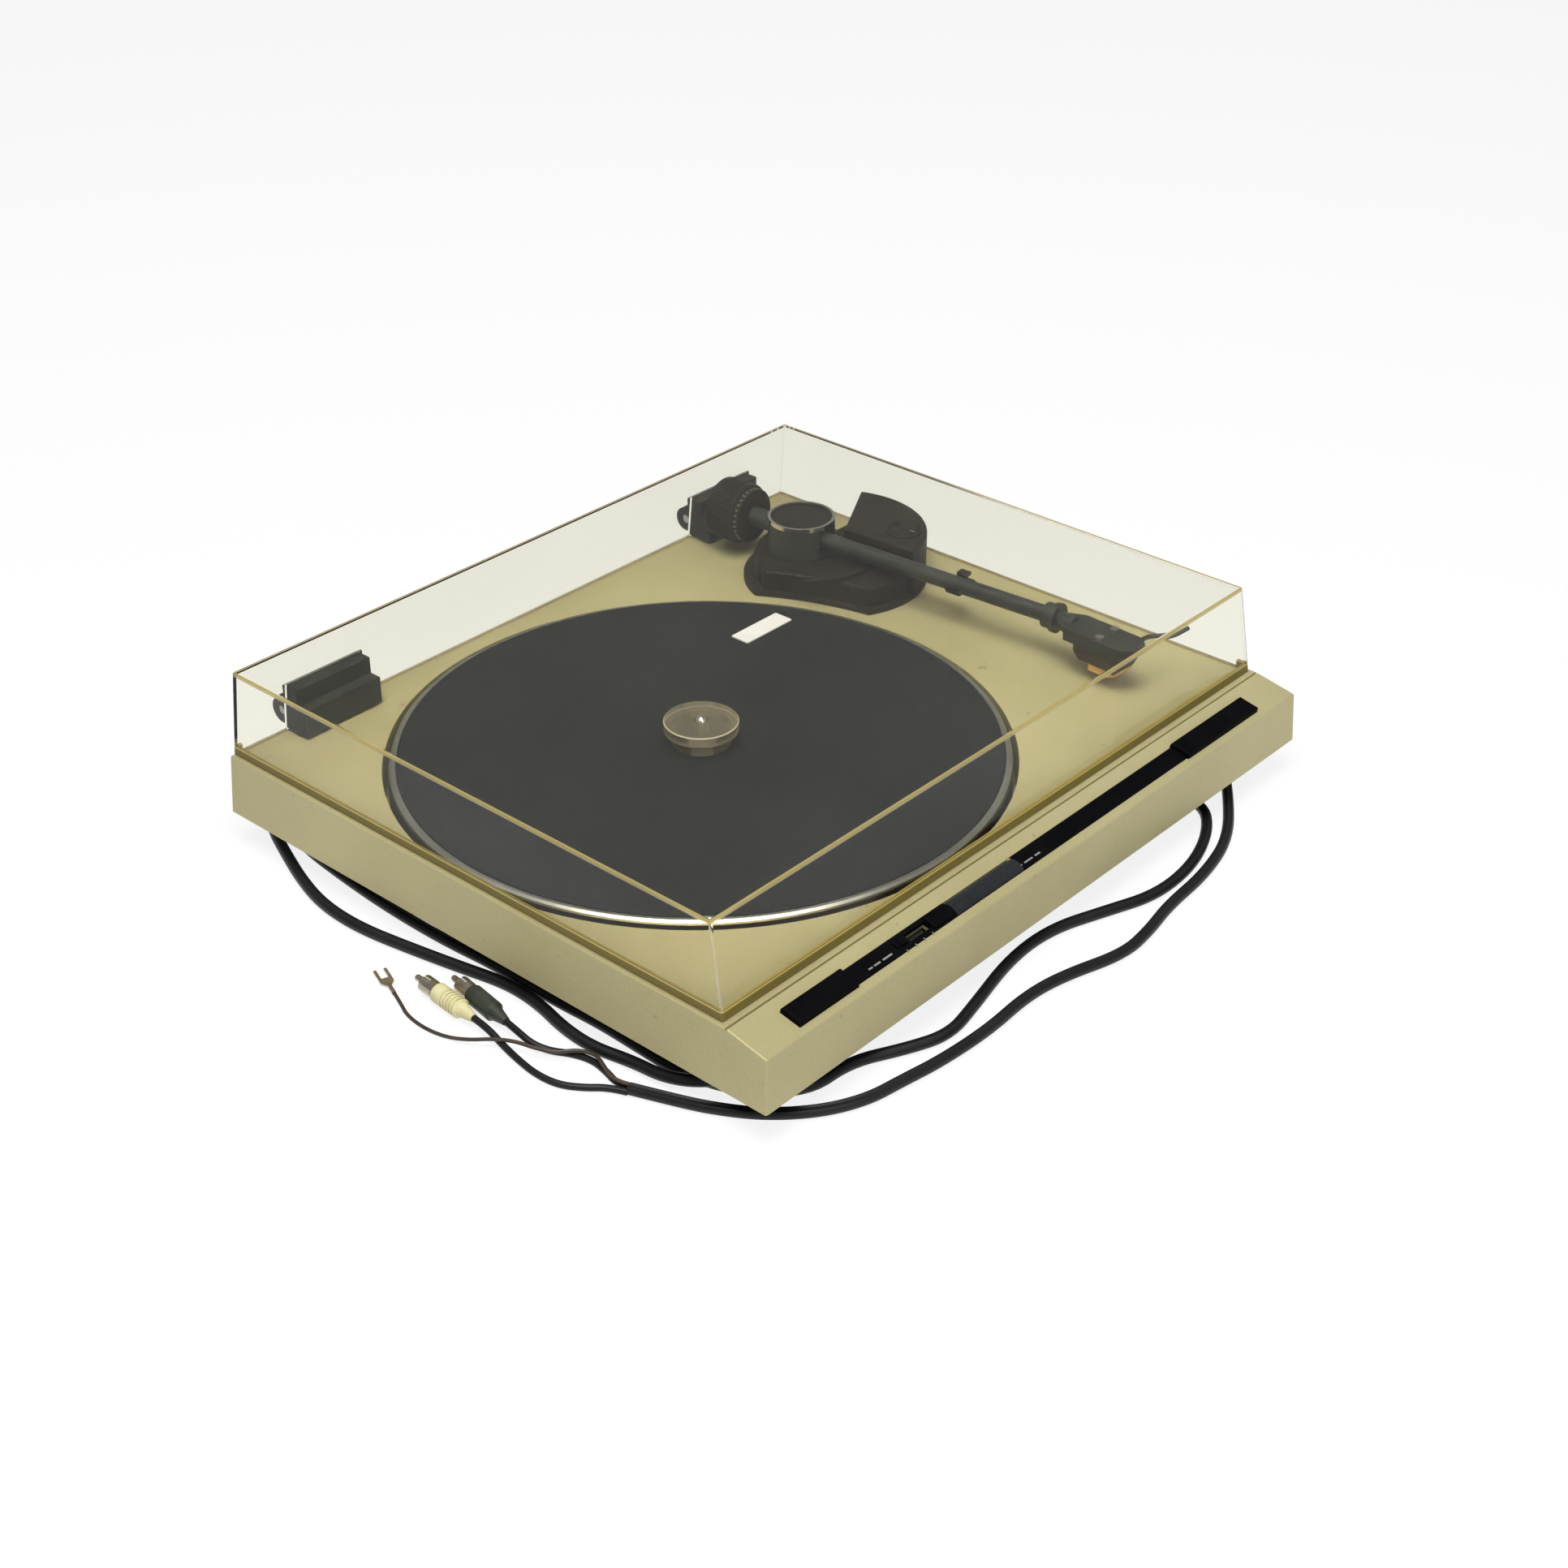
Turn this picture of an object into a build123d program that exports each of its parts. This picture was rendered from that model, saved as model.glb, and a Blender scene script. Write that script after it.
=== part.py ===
from build123d import *
from math import atan2, ceil, cos, degrees, pi, radians, sin, sqrt, tan
import os

# Direct drive turntable with a hinged dust cover, in millimetres. The part stands on z = 0, +X is to the right,
# +Y to the back, and the origin is the middle of its footprint.

os.makedirs("parts", exist_ok=True)

# Cabinet
foot_height = 18.0
cabinet_width = 420.0
cabinet_front = 185.0
cabinet_back = 177.7
cabinet_height = 32.2
side_draft = 2.1
end_draft = 1.6
ledge_depth = 23.4
ledge_drop = 4.7
groove_width = 1.2
groove_depth = 1.2
wall = 3.0
edge_round = 1.2
seat_gap = 0.3
running_gap = 0.05
overrun = 5.0
half_width = cabinet_width / 2
deck_z = foot_height + cabinet_height
groove_y = -(cabinet_front - end_draft - ledge_depth)
deck_back = cabinet_back - end_draft

# Base plate, feet and screws
base_plate = 2.0
foot_radius = 20.0
foot_toe = 17.5
foot_toe_height = 3.0
foot_inset_side = 45.0
foot_inset_front = 50.0
foot_inset_back = 42.7
foot_bore = 5.0
foot_web = 6.0
screw_radius = 1.8
screw_head = 3.6
screw_head_height = 2.0
screw_grip = 6.0
boss_radius = 4.5
boss_inset_side = 15.0
boss_inset_front = 36.0
boss_inset_back = 22.0

# Well, platter and mat
well_share = 0.3771
well_side_margin = 6.0
well_front_margin = 7.4
well_depth = 22.0
tub_wall = 2.5
well_radius = well_share * cabinet_width
platter_gap = 2.6
platter_radius = well_radius - platter_gap
platter_clearance = 3.0
rim_proud = 2.5
rim_bevel = 2.2
rim_bevel_height = 1.5
rim_land = 4.2
rim_depth = 7.0
web_thickness = 4.0
mat_thickness = 3.5
mat_round = 0.8
mat_gap = 0.2
mat_radius = platter_radius - rim_land
platter_x = -(half_width - well_side_margin - well_radius)
platter_y = groove_y + well_front_margin + well_radius
well_floor = deck_z - well_depth
web_top = deck_z - 0.2 * groove_depth
mat_top = web_top + mat_thickness

# Motor, shaft and adapter
spindle_radius = 3.6
spindle_height = 14.4
shaft_radius = 4.0
hub_radius = 16.0
hub_depth = 2.2
rotor_radius = 52.0
rotor_rib = 6.0
yoke_thickness = 2.0
magnet_thickness = 5.0
magnet_bore = 29.0
air_gap = 1.0
plate_radius = 62.0
plate_thickness = 1.6
board_thickness = 1.6
stator_radius = 56.0
stator_bore = 15.0
coil_count = 12
coil_reach = 40.0
coil_length = 19.0
coil_width = 14.0
coil_turns = 4.0
coil_height = 3.2
coil_round = 3.0
bearing_radius = 9.0
bearing_flange = 13.5
bearing_flange_height = 2.4
bearing_foot = 2.0
bearing_seat = 1.5
adapter_radius = 19.0
adapter_foot = 15.0
adapter_foot_height = 6.8
adapter_height = 12.5
adapter_round = 0.8

# Control strip along the ledge
strip_line = 13.5
strip_width = 9.8
strip_proud = 0.8
strip_seat = 1.4
strip_left = 28.0
strip_right = 32.0
button_width = 11.6
button_proud = 2.8
button_body = 4.0
button_travel = 1.6
button_round = 1.0
left_button = 39.0
right_button = 64.0
slide_lead = 31.0
slide_slot = 24.0
slide_slot_width = 4.6
slide_knob = 8.0
slide_proud = 1.2
lift_button_length = 15.5
lift_button_width = 8.2
lift_button_proud = 1.8
window_length = 50.0
window_proud = 1.2
window_seat = 1.0
switch_size = 6.0
switch_gap = 0.6
strip_board_front = 6.0
strip_board_back = 8.0
strip_board_boss = 3.0

# Power supply and control board
transformer_size = 50.0
transformer_width = 60.0
transformer_height = 22.0
transformer_core = 14.0
transformer_side_inset = 16.0
transformer_y = -55.0
board_length = 74.0
board_width = 52.0
board_inset_side = 22.0
board_inset_front = 38.0
board_standoff = 4.0
board_post = 3.0
chip_size = 12.0
chip_height = 4.0
capacitor_radius = 5.0
capacitor_height = 13.0

# Arm base and its raised block
base_radius = 52.0
base_inset = 66.5
base_y = 79.0
base_flange = 2.4
base_gap = 7.8
base_step = 4.0
base_shift_share = 0.7
base_height = 13.8
tower_height = 29.8
tower_inset = 0.8
tower_front_share = 0.125
tower_front_y_share = -0.98
tower_corner_x_share = 0.05
tower_corner_y_share = -0.08
tower_back_x_share = 0.9
tower_back_y_share = 0.4
base_round = 1.5
dial_radius = 10.5
dial_inset = 43.5
dial_y = 48.5
dial_recess = 2.0
dial_proud = 1.2
dial_rim = 0.8

# Arm pivot
pivot_inset = 74.3
pivot_y = 98.0
arm_z = 74.0
arm_rest_angle = 4.16
drum_radius = 19.0
drum_top = 10.0
cap_thickness = 2.0
cap_rim = 1.6
cap_dish = 0.6
fork_slot = 14.0
fork_play = 2.2
gimbal_block = 6.2
gimbal_length = 18.0
pin_radius = 1.5
arm_shaft_radius = 5.0
sleeve_radius = 9.0
sleeve_flange = 14.0
sleeve_flange_height = 2.5
sleeve_length = 12.0
arm_clearance = 0.4

# Arm, head and counterweight
tube_radius = 4.5
stub_radius = 5.5
collar_at = 167.0
collar_radius = 7.0
collar_length = 8.0
collar_ridge = 1.2
weight_share = 0.792
weight_near = 34.0
weight_length = 22.5
weight_round = 1.5
ring_length = 4.0
ring_share = 0.886
swing_gap = 2.5
head_angle = 7.0
head_width = 20.0
head_length = 52.0
head_thickness = 3.0
head_neck = 10.0
head_z = 75.0
head_lip = 4.0
head_round = 5.0
cartridge_width = 17.0
cartridge_length = 30.0
cartridge_height = 12.5
cartridge_front = 6.0
cartridge_chamfer = 4.0
holder_width = 15.0
holder_length = 16.0
holder_height = 4.4
holder_front = 7.0
stylus_radius = 0.45
stylus_drop = 1.0
stylus_length = 7.0
shell_screw_radius = 1.2
shell_screw_head = 2.4
shell_screw_spread = 6.3
finger_radius = 1.2
finger_shares = (0.35, 0.95, 1.6)
finger_reach = 15.0
finger_rise = 3.4

# Arm rest, clip and lift bar
rest_at = 105.3
rest_wall = 1.5
rest_length = 7.0
rest_arm_near = 9.5
rest_arm_far = 13.5
rest_arm_top = 5.0
rest_arm_bottom = 9.0
rest_web_top = 2.0
rest_web_bottom = 6.0
rest_pad = 1.0
rest_pad_thickness = 2.2
clip_radius = 1.3
clip_reach = 3.5
clip_side = 6.2
clip_height = 3.2
clip_gap = 0.4
lift_reach = 46.0
lift_width = 3.0
lift_height = 2.4
lift_travel = 2.4
lift_start = -6.0
lift_sweep = 60.0
lift_rod = 2.0
lift_rod_length = 18.0
lift_rod_at = 20.0

# Dust cover
cover_inset = 2.3
cover_wall = 2.0
cover_gap = 0.4
cover_height = 47.9
cover_front = 3.6
cover_side_draft = 1.7
cover_front_draft = 8.4
cover_back_draft = 5.0
cover_round = 1.4
badge_length = 33.5
badge_width = 11.0
badge_thickness = 0.6
badge_x = 2.3
badge_y = 8.1

# Cover hinges
hinge_inset = 62.0
hinge_width = 49.0
hinge_slot_height = 26.5
hinge_radius = 7.0
hinge_rise = 10.8
hinge_pin = 2.5
hinge_knuckle = 17.0
hinge_side_gap = 0.4
hinge_block_depth = 18.0
hinge_block_step = 7.0
hinge_block_top = 24.8
hinge_block_bottom = 1.8
hinge_step_height = 9.0
socket_plate = 3.0
socket_width = 34.0
socket_depth = 28.0
socket_screw_drop = 20.0
hinge_y = cabinet_front - hinge_radius
hinge_z = deck_z + hinge_rise

# Cord entries and plugs
gland_radius = 6.5
gland_flange = 2.0
gland_neck = 4.6
gland_tail = 8.0
gland_z = 26.0
signal_gland_inset = 150.0
power_gland_inset = 90.0
signal_radius = 2.9
power_radius = 3.0
lead_radius = 1.7
ground_radius = 0.9
lead_spread = 1.75
bend_share = 0.45
route_half_width = 210.0
route_middle = 100.0

# Right-angled places that the sizes above give
slope = degrees(atan2(ledge_drop, ledge_depth))
strip_y = groove_y - strip_line
strip_z = deck_z - strip_line * ledge_drop / ledge_depth
rim_top = web_top + rim_proud
base_x = half_width - base_inset
dial_x = half_width - dial_inset
pivot_x = half_width - pivot_inset
hinge_mid = half_width - hinge_inset
signal_gland_x = signal_gland_inset - half_width
power_gland_x = power_gland_inset - half_width
weight_radius = weight_share * (deck_z + cover_height - cover_wall - arm_z)
ring_radius = ring_share * weight_radius
base_top = deck_z + base_height
tower_top = deck_z + tower_height
drum_bottom = base_top + arm_clearance
drum_crown = arm_z + drum_top


def block(x0, x1, y0, y1, z0, z1):
    """A box between two corners."""
    return Pos((x0 + x1) / 2, (y0 + y1) / 2, (z0 + z1) / 2) * Box(x1 - x0, y1 - y0, z1 - z0)


def post(radius, z0, z1, x=0, y=0):
    """An upright cylinder from z0 to z1."""
    return Pos(x, y, (z0 + z1) / 2) * Cylinder(radius, z1 - z0)


def rod_x(radius, x0, x1, y, z):
    """A cylinder along X."""
    return Pos((x0 + x1) / 2, y, z) * Rot(0, 90, 0) * Cylinder(radius, x1 - x0)


def rod_y(radius, y0, y1, x, z):
    """A cylinder along Y."""
    return Pos(x, (y0 + y1) / 2, z) * Rot(90, 0, 0) * Cylinder(radius, y1 - y0)


def turned(points, x=0, y=0):
    """A solid of revolution about an upright axis, from (radius, height) points."""
    face = Plane.XZ * make_face(Polyline(points, close=True))
    return Pos(x, y, 0) * revolve(face, Axis.Z)


def in_ledge(shape):
    """Place a shape drawn flat at the strip's centre line onto the sloping ledge."""
    return Pos(0, strip_y, strip_z) * Rot(slope, 0, 0) * shape


def in_arm(shape):
    """Place a shape drawn along -Y from the pivot, at the arm's height, onto the parked arm."""
    return Pos(pivot_x, pivot_y, arm_z) * Rot(0, 0, arm_rest_angle) * shape


def in_head(shape):
    """Place a shape drawn along -Y from the collar onto the angled head."""
    return in_arm(Pos(0, -collar_at, 0) * Rot(0, 0, -head_angle) * shape)


def cabinet_form(inset, drop):
    """The cabinet's outer form, drawn in by an inset and lowered by a drop."""
    side = Polyline(
        (-(cabinet_front - inset), foot_height),
        (-(cabinet_front - end_draft - inset), deck_z - ledge_drop - drop),
        (groove_y, deck_z - drop),
        (deck_back - inset, deck_z - drop),
        (cabinet_back - inset, foot_height),
        close=True,
    )
    front = Polyline(
        (-(half_width - inset), foot_height),
        (-(half_width - side_draft - inset), deck_z),
        (half_width - side_draft - inset, deck_z),
        (half_width - inset, foot_height),
        close=True,
    )
    along_x = extrude(Plane.YZ * make_face(side), half_width, both=True)
    along_y = extrude(Plane.XZ * make_face(front), cabinet_front + cabinet_back, both=True)
    return along_x & along_y


def boss_places():
    """Screw bosses in the four corners of the cabinet."""
    x = half_width - boss_inset_side
    return [(sx * x, y) for sx in (-1, 1) for y in (-(cabinet_front - boss_inset_front), cabinet_back - boss_inset_back)]


def foot_places():
    """The four feet."""
    x = half_width - foot_inset_side
    return [(sx * x, y) for sx in (-1, 1) for y in (-(cabinet_front - foot_inset_front), cabinet_back - foot_inset_back)]


def strip_x():
    """The places along the strip, from left to right."""
    left = -half_width + strip_left
    right = half_width - strip_right
    places = {"left": left, "right": right}
    places["trim_left"] = left + left_button + seat_gap
    places["trim_right"] = right - right_button - seat_gap
    places["slot_left"] = left + left_button + slide_lead
    places["slot_right"] = places["slot_left"] + slide_slot
    places["lift_left"] = places["slot_right"] + seat_gap
    places["lift_right"] = places["lift_left"] + lift_button_length
    places["window_left"] = places["lift_right"] + seat_gap
    places["window_right"] = places["window_left"] + window_length
    return places


def board_boss_x():
    """The bosses that carry the switch board, clear of the slots."""
    at = strip_x()
    free_left = (at["trim_left"] + at["slot_left"]) / 2
    free_right = (at["window_right"] + at["trim_right"]) / 2
    return [free_left, at["window_right"], free_right]


# The cabinet's moulding
def top_cabinet():
    outer = cabinet_form(0, 0)
    sharp = [e for e in outer.edges() if e.length > edge_round and e.center().Z > foot_height + edge_round]
    keep = [e for e in sharp if abs(e.center().Y - groove_y) > edge_round or abs(e.center().X) > edge_round]
    outer = fillet(keep, edge_round)
    shell = outer - cabinet_form(wall, wall)
    tub_bottom = well_floor - tub_wall
    shell += post(well_radius + tub_wall, tub_bottom, deck_z - wall / 2, platter_x, platter_y) & outer
    for x, y in boss_places():
        shell += post(boss_radius, foot_height + base_plate, deck_z - wall / 2, x, y)
    for x in board_boss_x():
        shell += in_ledge(post(strip_board_boss, -board_drop(), -wall / 2, x, 0))
    shell -= post(well_radius, well_floor, deck_z + overrun, platter_x, platter_y)
    shell -= post(bearing_radius + seat_gap, 0, deck_z, platter_x, platter_y)
    for x, y in boss_places():
        shell -= post(screw_radius + running_gap, 0, foot_height + base_plate + screw_grip + seat_gap, x, y)
    reach = half_width + overrun
    shell -= block(-reach, reach, groove_y - groove_width / 2, groove_y + groove_width / 2,
                   deck_z - groove_depth, deck_z + overrun)
    shell -= ledge_cuts()
    shell -= post(sleeve_radius + running_gap, 0, deck_z + overrun, pivot_x, pivot_y)
    shell -= post(lift_rod + seat_gap, foot_height + wall, deck_z + overrun, *lift_rod_place())
    for x, radius in ((signal_gland_x, gland_neck), (power_gland_x, gland_neck)):
        shell -= rod_y(radius + running_gap, deck_back - wall - overrun, cabinet_back + overrun, x, gland_z)
    for x in socket_screw_x():
        shell -= rod_y(screw_radius + running_gap, deck_back - wall - overrun, cabinet_back + overrun,
                       x, hinge_z - socket_depth - hinge_radius + socket_screw_drop / 2)
    return shell


def ledge_cuts():
    """The seat of the trim and the holes of the buttons in the ledge."""
    at = strip_x()
    half = strip_width / 2 + seat_gap
    wide = button_width / 2 + seat_gap
    cuts = block(at["trim_left"] - seat_gap, at["trim_right"] + seat_gap, -half, half, -strip_seat, overrun)
    cuts += block(at["left"] - seat_gap, at["trim_left"], -wide, wide, -overrun, overrun)
    cuts += block(at["trim_right"], at["right"] + seat_gap, -wide, wide, -overrun, overrun)
    narrow = slide_slot_width / 2
    cuts += block(at["slot_left"], at["slot_right"] - seat_gap, -narrow, narrow, -overrun, overrun)
    half_lift = lift_button_width / 2 + seat_gap
    cuts += block(at["lift_left"] - seat_gap, at["lift_right"] + seat_gap, -half_lift, half_lift, -overrun, overrun)
    return in_ledge(cuts)


def board_drop():
    """How far the switch board's face lies below the ledge."""
    return button_body + button_travel + switch_gap + switch_height()


def switch_height():
    return button_body / 2


def bottom_cover():
    z1 = foot_height + base_plate
    inner = wall + seat_gap
    plate = block(-half_width + inner, half_width - inner, -cabinet_front + inner + end_draft,
                  cabinet_back - inner - end_draft, foot_height, z1)
    for x, y in boss_places() + foot_places():
        plate -= post(screw_radius + running_gap, 0, z1 + overrun, x, y)
    return plate


def feet():
    """Four turned rubber feet, recessed for their screws."""
    profile = [
        (screw_radius + running_gap, foot_web),
        (foot_bore, foot_web),
        (foot_bore, 0),
        (foot_toe, 0),
        (foot_radius, foot_toe_height),
        (foot_radius, foot_height),
        (screw_radius + running_gap, foot_height),
    ]
    return [turned(profile, x, y) for x, y in foot_places()]


def upright_screw(x, y, seat, grip):
    """A screw that points up, with its head under the seat."""
    shank = post(screw_radius, seat, seat + grip, x, y)
    return shank + post(screw_head, seat - screw_head_height, seat, x, y)


def socket_screw_x():
    """The screws of both hinge sockets."""
    spread = socket_width / 2 - screw_head - seat_gap
    return [side * hinge_mid + step * spread for side in (-1, 1) for step in (-1, 1)]


def fasteners():
    """Screws of the feet, the base plate and the hinge sockets, and the two hinge pins."""
    items = [upright_screw(x, y, foot_web, foot_height - foot_web + base_plate + wall) for x, y in foot_places()]
    items += [upright_screw(x, y, foot_height, base_plate + screw_grip) for x, y in boss_places()]
    z = hinge_z - socket_depth - hinge_radius + socket_screw_drop / 2
    outside = socket_back()
    for x in socket_screw_x():
        shank = rod_y(screw_radius, deck_back - wall - seat_gap, outside, x, z)
        items.append(shank + rod_y(screw_head, outside, outside + screw_head_height, x, z))
    half = hinge_width / 2 - 2 * hinge_side_gap
    items += [rod_x(hinge_pin, s * hinge_mid - half, s * hinge_mid + half, hinge_y, hinge_z) for s in (-1, 1)]
    return items


# Direct drive motor
def motor_plate():
    z0 = well_floor
    disc = post(plate_radius, z0, z0 + plate_thickness, platter_x, platter_y)
    return disc - post(bearing_radius + running_gap, z0 - overrun, z0 + overrun, platter_x, platter_y)


def stator_board():
    z0 = well_floor + plate_thickness
    disc = post(stator_radius, z0, z0 + board_thickness, platter_x, platter_y)
    return disc - post(stator_bore, z0 - overrun, z0 + overrun, platter_x, platter_y)


def stator_coils():
    """Flat drive coils in a ring on the board."""
    z0 = well_floor + plate_thickness + board_thickness
    outer = RectangleRounded(coil_length, coil_width, coil_round)
    inner = RectangleRounded(coil_length - 2 * coil_turns, coil_width - 2 * coil_turns, coil_round / 2)
    coil = extrude(outer - inner, coil_height)
    ring = []
    for k in range(coil_count):
        ring.append(Pos(platter_x, platter_y, z0) * Rot(0, 0, 360 * k / coil_count) * Pos(coil_reach, 0, 0) * coil)
    return ring


def bearing_housing():
    z0 = foot_height + base_plate + bearing_foot
    z1 = yoke_bottom() - air_gap
    flange = well_floor + plate_thickness
    body = post(bearing_radius, z0, z1, platter_x, platter_y)
    body += post(bearing_flange, flange, flange + bearing_flange_height, platter_x, platter_y)
    return body - post(shaft_radius + running_gap, z0 + bearing_seat, z1 + overrun, platter_x, platter_y)


def yoke_bottom():
    return web_top - web_thickness - hub_depth - yoke_thickness


def spindle_shaft():
    """One turned shaft: thrust end, bearing length, hub seat and the spindle with its rounded tip."""
    tip = mat_top + spindle_height
    taper = spindle_radius / 3
    profile = [
        (0, foot_height + base_plate + bearing_foot + bearing_seat + running_gap),
        (shaft_radius, foot_height + base_plate + bearing_foot + bearing_seat + running_gap),
        (shaft_radius, web_top - web_thickness / 2),
        (spindle_radius, web_top - web_thickness / 2),
        (spindle_radius, tip - spindle_radius),
        (2 * taper, tip - taper),
        (taper, tip - taper / 4),
        (0, tip),
    ]
    return turned(profile, platter_x, platter_y)


def rotor_yoke():
    z0 = yoke_bottom()
    disc = post(rotor_radius, z0, z0 + yoke_thickness, platter_x, platter_y)
    return disc - post(shaft_radius + running_gap, z0 - overrun, z0 + overrun, platter_x, platter_y)


def rotor_magnet():
    z1 = yoke_bottom()
    z0 = z1 - magnet_thickness
    disc = post(rotor_radius - yoke_thickness, z0, z1, platter_x, platter_y)
    return disc - post(magnet_bore, z0 - overrun, z1 + overrun, platter_x, platter_y)


def platter():
    """The cast platter: hub, rib for the rotor, web, deep rim and a bevelled lip round the mat."""
    under = web_top - web_thickness
    hub = under - hub_depth
    bore = shaft_radius + running_gap
    neck = spindle_radius + running_gap
    profile = [
        (bore, hub),
        (hub_radius, hub),
        (hub_radius, under),
        (rotor_radius - rotor_rib, under),
        (rotor_radius - rotor_rib, hub),
        (rotor_radius, hub),
        (rotor_radius, under),
        (platter_radius - rim_depth, under),
        (platter_radius - rim_depth, well_floor + platter_clearance),
        (platter_radius, well_floor + platter_clearance),
        (platter_radius, rim_top - rim_bevel_height),
        (platter_radius - rim_bevel, rim_top),
        (mat_radius + mat_gap, rim_top),
        (mat_radius + mat_gap, web_top),
        (neck, web_top),
        (neck, web_top - web_thickness / 2 + running_gap),
        (bore, web_top - web_thickness / 2 + running_gap),
    ]
    return turned(profile, platter_x, platter_y)


def platter_mat():
    disc = post(mat_radius, web_top, mat_top, platter_x, platter_y)
    disc = fillet(disc.edges().group_by(Axis.Z)[-1], mat_round)
    return disc - post(spindle_radius + mat_gap, web_top - overrun, mat_top + overrun, platter_x, platter_y)


def record_adapter():
    """Clear adapter for large-hole records, resting on the mat."""
    z0 = mat_top
    body = post(adapter_radius, z0 + adapter_foot_height, z0 + adapter_height, platter_x, platter_y)
    body = fillet(body.edges().filter_by(GeomType.CIRCLE), adapter_round)
    body += post(adapter_foot, z0, z0 + adapter_foot_height + adapter_round, platter_x, platter_y)
    return body - post(spindle_radius + running_gap, z0 - overrun, z0 + adapter_height + overrun, platter_x, platter_y)


# Power supply and boards
def power_transformer():
    """Laminated core with the winding's bobbin showing on both sides."""
    x1 = half_width - transformer_side_inset
    x0 = x1 - transformer_width
    z0 = foot_height + base_plate
    y0 = transformer_y - transformer_size / 2
    y1 = transformer_y + transformer_size / 2
    bobbin = transformer_core / 2
    core = block(x0, x1, y0 + bobbin, y1 - bobbin, z0, z0 + transformer_height)
    middle = block(x0 + transformer_core, x1 - transformer_core, y0, y1, z0, z0 + transformer_height - board_post)
    return core + middle


def control_board_place():
    x1 = half_width - board_inset_side
    y0 = -cabinet_front + board_inset_front
    return x1 - board_length, x1, y0, y0 + board_width


def control_board():
    """Board on standoffs with a chip, a heat tab and capacitors."""
    x0, x1, y0, y1 = control_board_place()
    z0 = foot_height + base_plate
    z1 = z0 + board_standoff
    top = z1 + board_thickness
    board = block(x0, x1, y0, y1, z1, top)
    inset = 2 * board_post
    for x in (x0 + inset, x1 - inset):
        for y in (y0 + inset, y1 - inset):
            board += post(board_post, z0, z1, x, y)
    mid_x = (x0 + x1) / 2
    mid_y = (y0 + y1) / 2
    board += block(mid_x - chip_size, mid_x + chip_size, mid_y - chip_size / 2, mid_y + chip_size / 2,
                   top, top + chip_height)
    for k in range(3):
        x = x0 + inset + (k + 1) * board_length / 5
        board += post(capacitor_radius, top, top + capacitor_height, x, y1 - inset - capacitor_radius / 2)
    board += block(x1 - inset - chip_size, x1 - inset, y0 + inset, y0 + inset + board_post, top, top + chip_size)
    return board


def switch_board():
    """Long board under the ledge with a switch below each button."""
    at = strip_x()
    face = -board_drop()
    board = block(at["left"], at["right"], -strip_board_front, strip_board_back, face - board_thickness, face)
    lift_mid = (at["lift_left"] + at["lift_right"]) / 2
    left_mid = at["left"] + left_button / 2
    right_mid = at["right"] - right_button / 2
    half = switch_size / 2
    for x in (left_mid, lift_mid, right_mid):
        board += block(x - half, x + half, -half, half, face, face + switch_height())
    slot_mid = (at["slot_left"] + at["slot_right"]) / 2
    wide = slide_slot / 2 - switch_gap
    board += block(slot_mid - wide, slot_mid + wide, -half, half, face, -button_body - seat_gap)
    return in_ledge(board)


# Control strip
def control_trim():
    at = strip_x()
    half = strip_width / 2
    bar = block(at["trim_left"], at["trim_right"], -half, half, -strip_seat, strip_proud)
    narrow = slide_slot_width / 2
    bar -= block(at["slot_left"], at["slot_right"] - seat_gap, -narrow, narrow, -overrun, overrun)
    half_lift = lift_button_width / 2 + seat_gap
    bar -= block(at["lift_left"] - seat_gap, at["lift_right"] + seat_gap, -half_lift, half_lift, -overrun, overrun)
    bar -= block(at["window_left"] - seat_gap, at["window_right"] + seat_gap, -half, half, -window_seat, overrun)
    return in_ledge(bar)


def strip_button(x0, x1, width, proud):
    """A rounded bar key that reaches through the ledge."""
    key = block(x0, x1, -width / 2, width / 2, -button_body, proud)
    top = key.edges().group_by(Axis.Z)[-1]
    return in_ledge(fillet(top, button_round))


def size_slide():
    """The sliding record-size knob with its finger ridge."""
    at = strip_x()
    x0 = at["slot_left"] + seat_gap
    half = slide_slot_width / 2 - seat_gap
    knob = block(x0, x0 + slide_knob, -half, half, -button_body, strip_proud + slide_proud / 2)
    ridge = slide_knob / 6
    mid = x0 + slide_knob / 2
    return in_ledge(knob + block(mid - ridge, mid + ridge, -half, half, strip_proud, strip_proud + slide_proud))


def pilot_window():
    """Half-round glossy window let into the trim."""
    at = strip_x()
    half = strip_width / 2 - seat_gap
    x0 = at["window_left"]
    x1 = at["window_right"]
    low = strip_proud - window_seat / 2
    rise = strip_proud + window_proud
    outline = Polyline((half, low), (half, -window_seat), (-half, -window_seat), (-half, low))
    bow = ThreePointArc((-half, low), (0, rise), (half, low))
    bar = extrude(Plane.YZ * make_face(outline + bow), x1 - x0)
    return in_ledge(Pos(x0, 0, 0) * bar)


# Arm base, bearing and lift
def raised(radius, shift, gap, z0, z1):
    """An upright round between two heights, hollowed along the well."""
    body = post(radius, z0, z1, base_x + shift, base_y)
    return body - post(well_radius + gap, z0 - overrun, z1 + overrun, platter_x, platter_y)


def swing_cut(z0):
    """The room that the counterweight needs behind and beside the pivot."""
    far = weight_near + weight_length + swing_gap
    ring = post(far, z0, tower_top + overrun, pivot_x, pivot_y)
    ring -= post(weight_near - swing_gap, z0 - overrun, tower_top + 2 * overrun, pivot_x, pivot_y)
    return ring & block(pivot_x - far, pivot_x + far, pivot_y, pivot_y + far, z0, tower_top + overrun)


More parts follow.
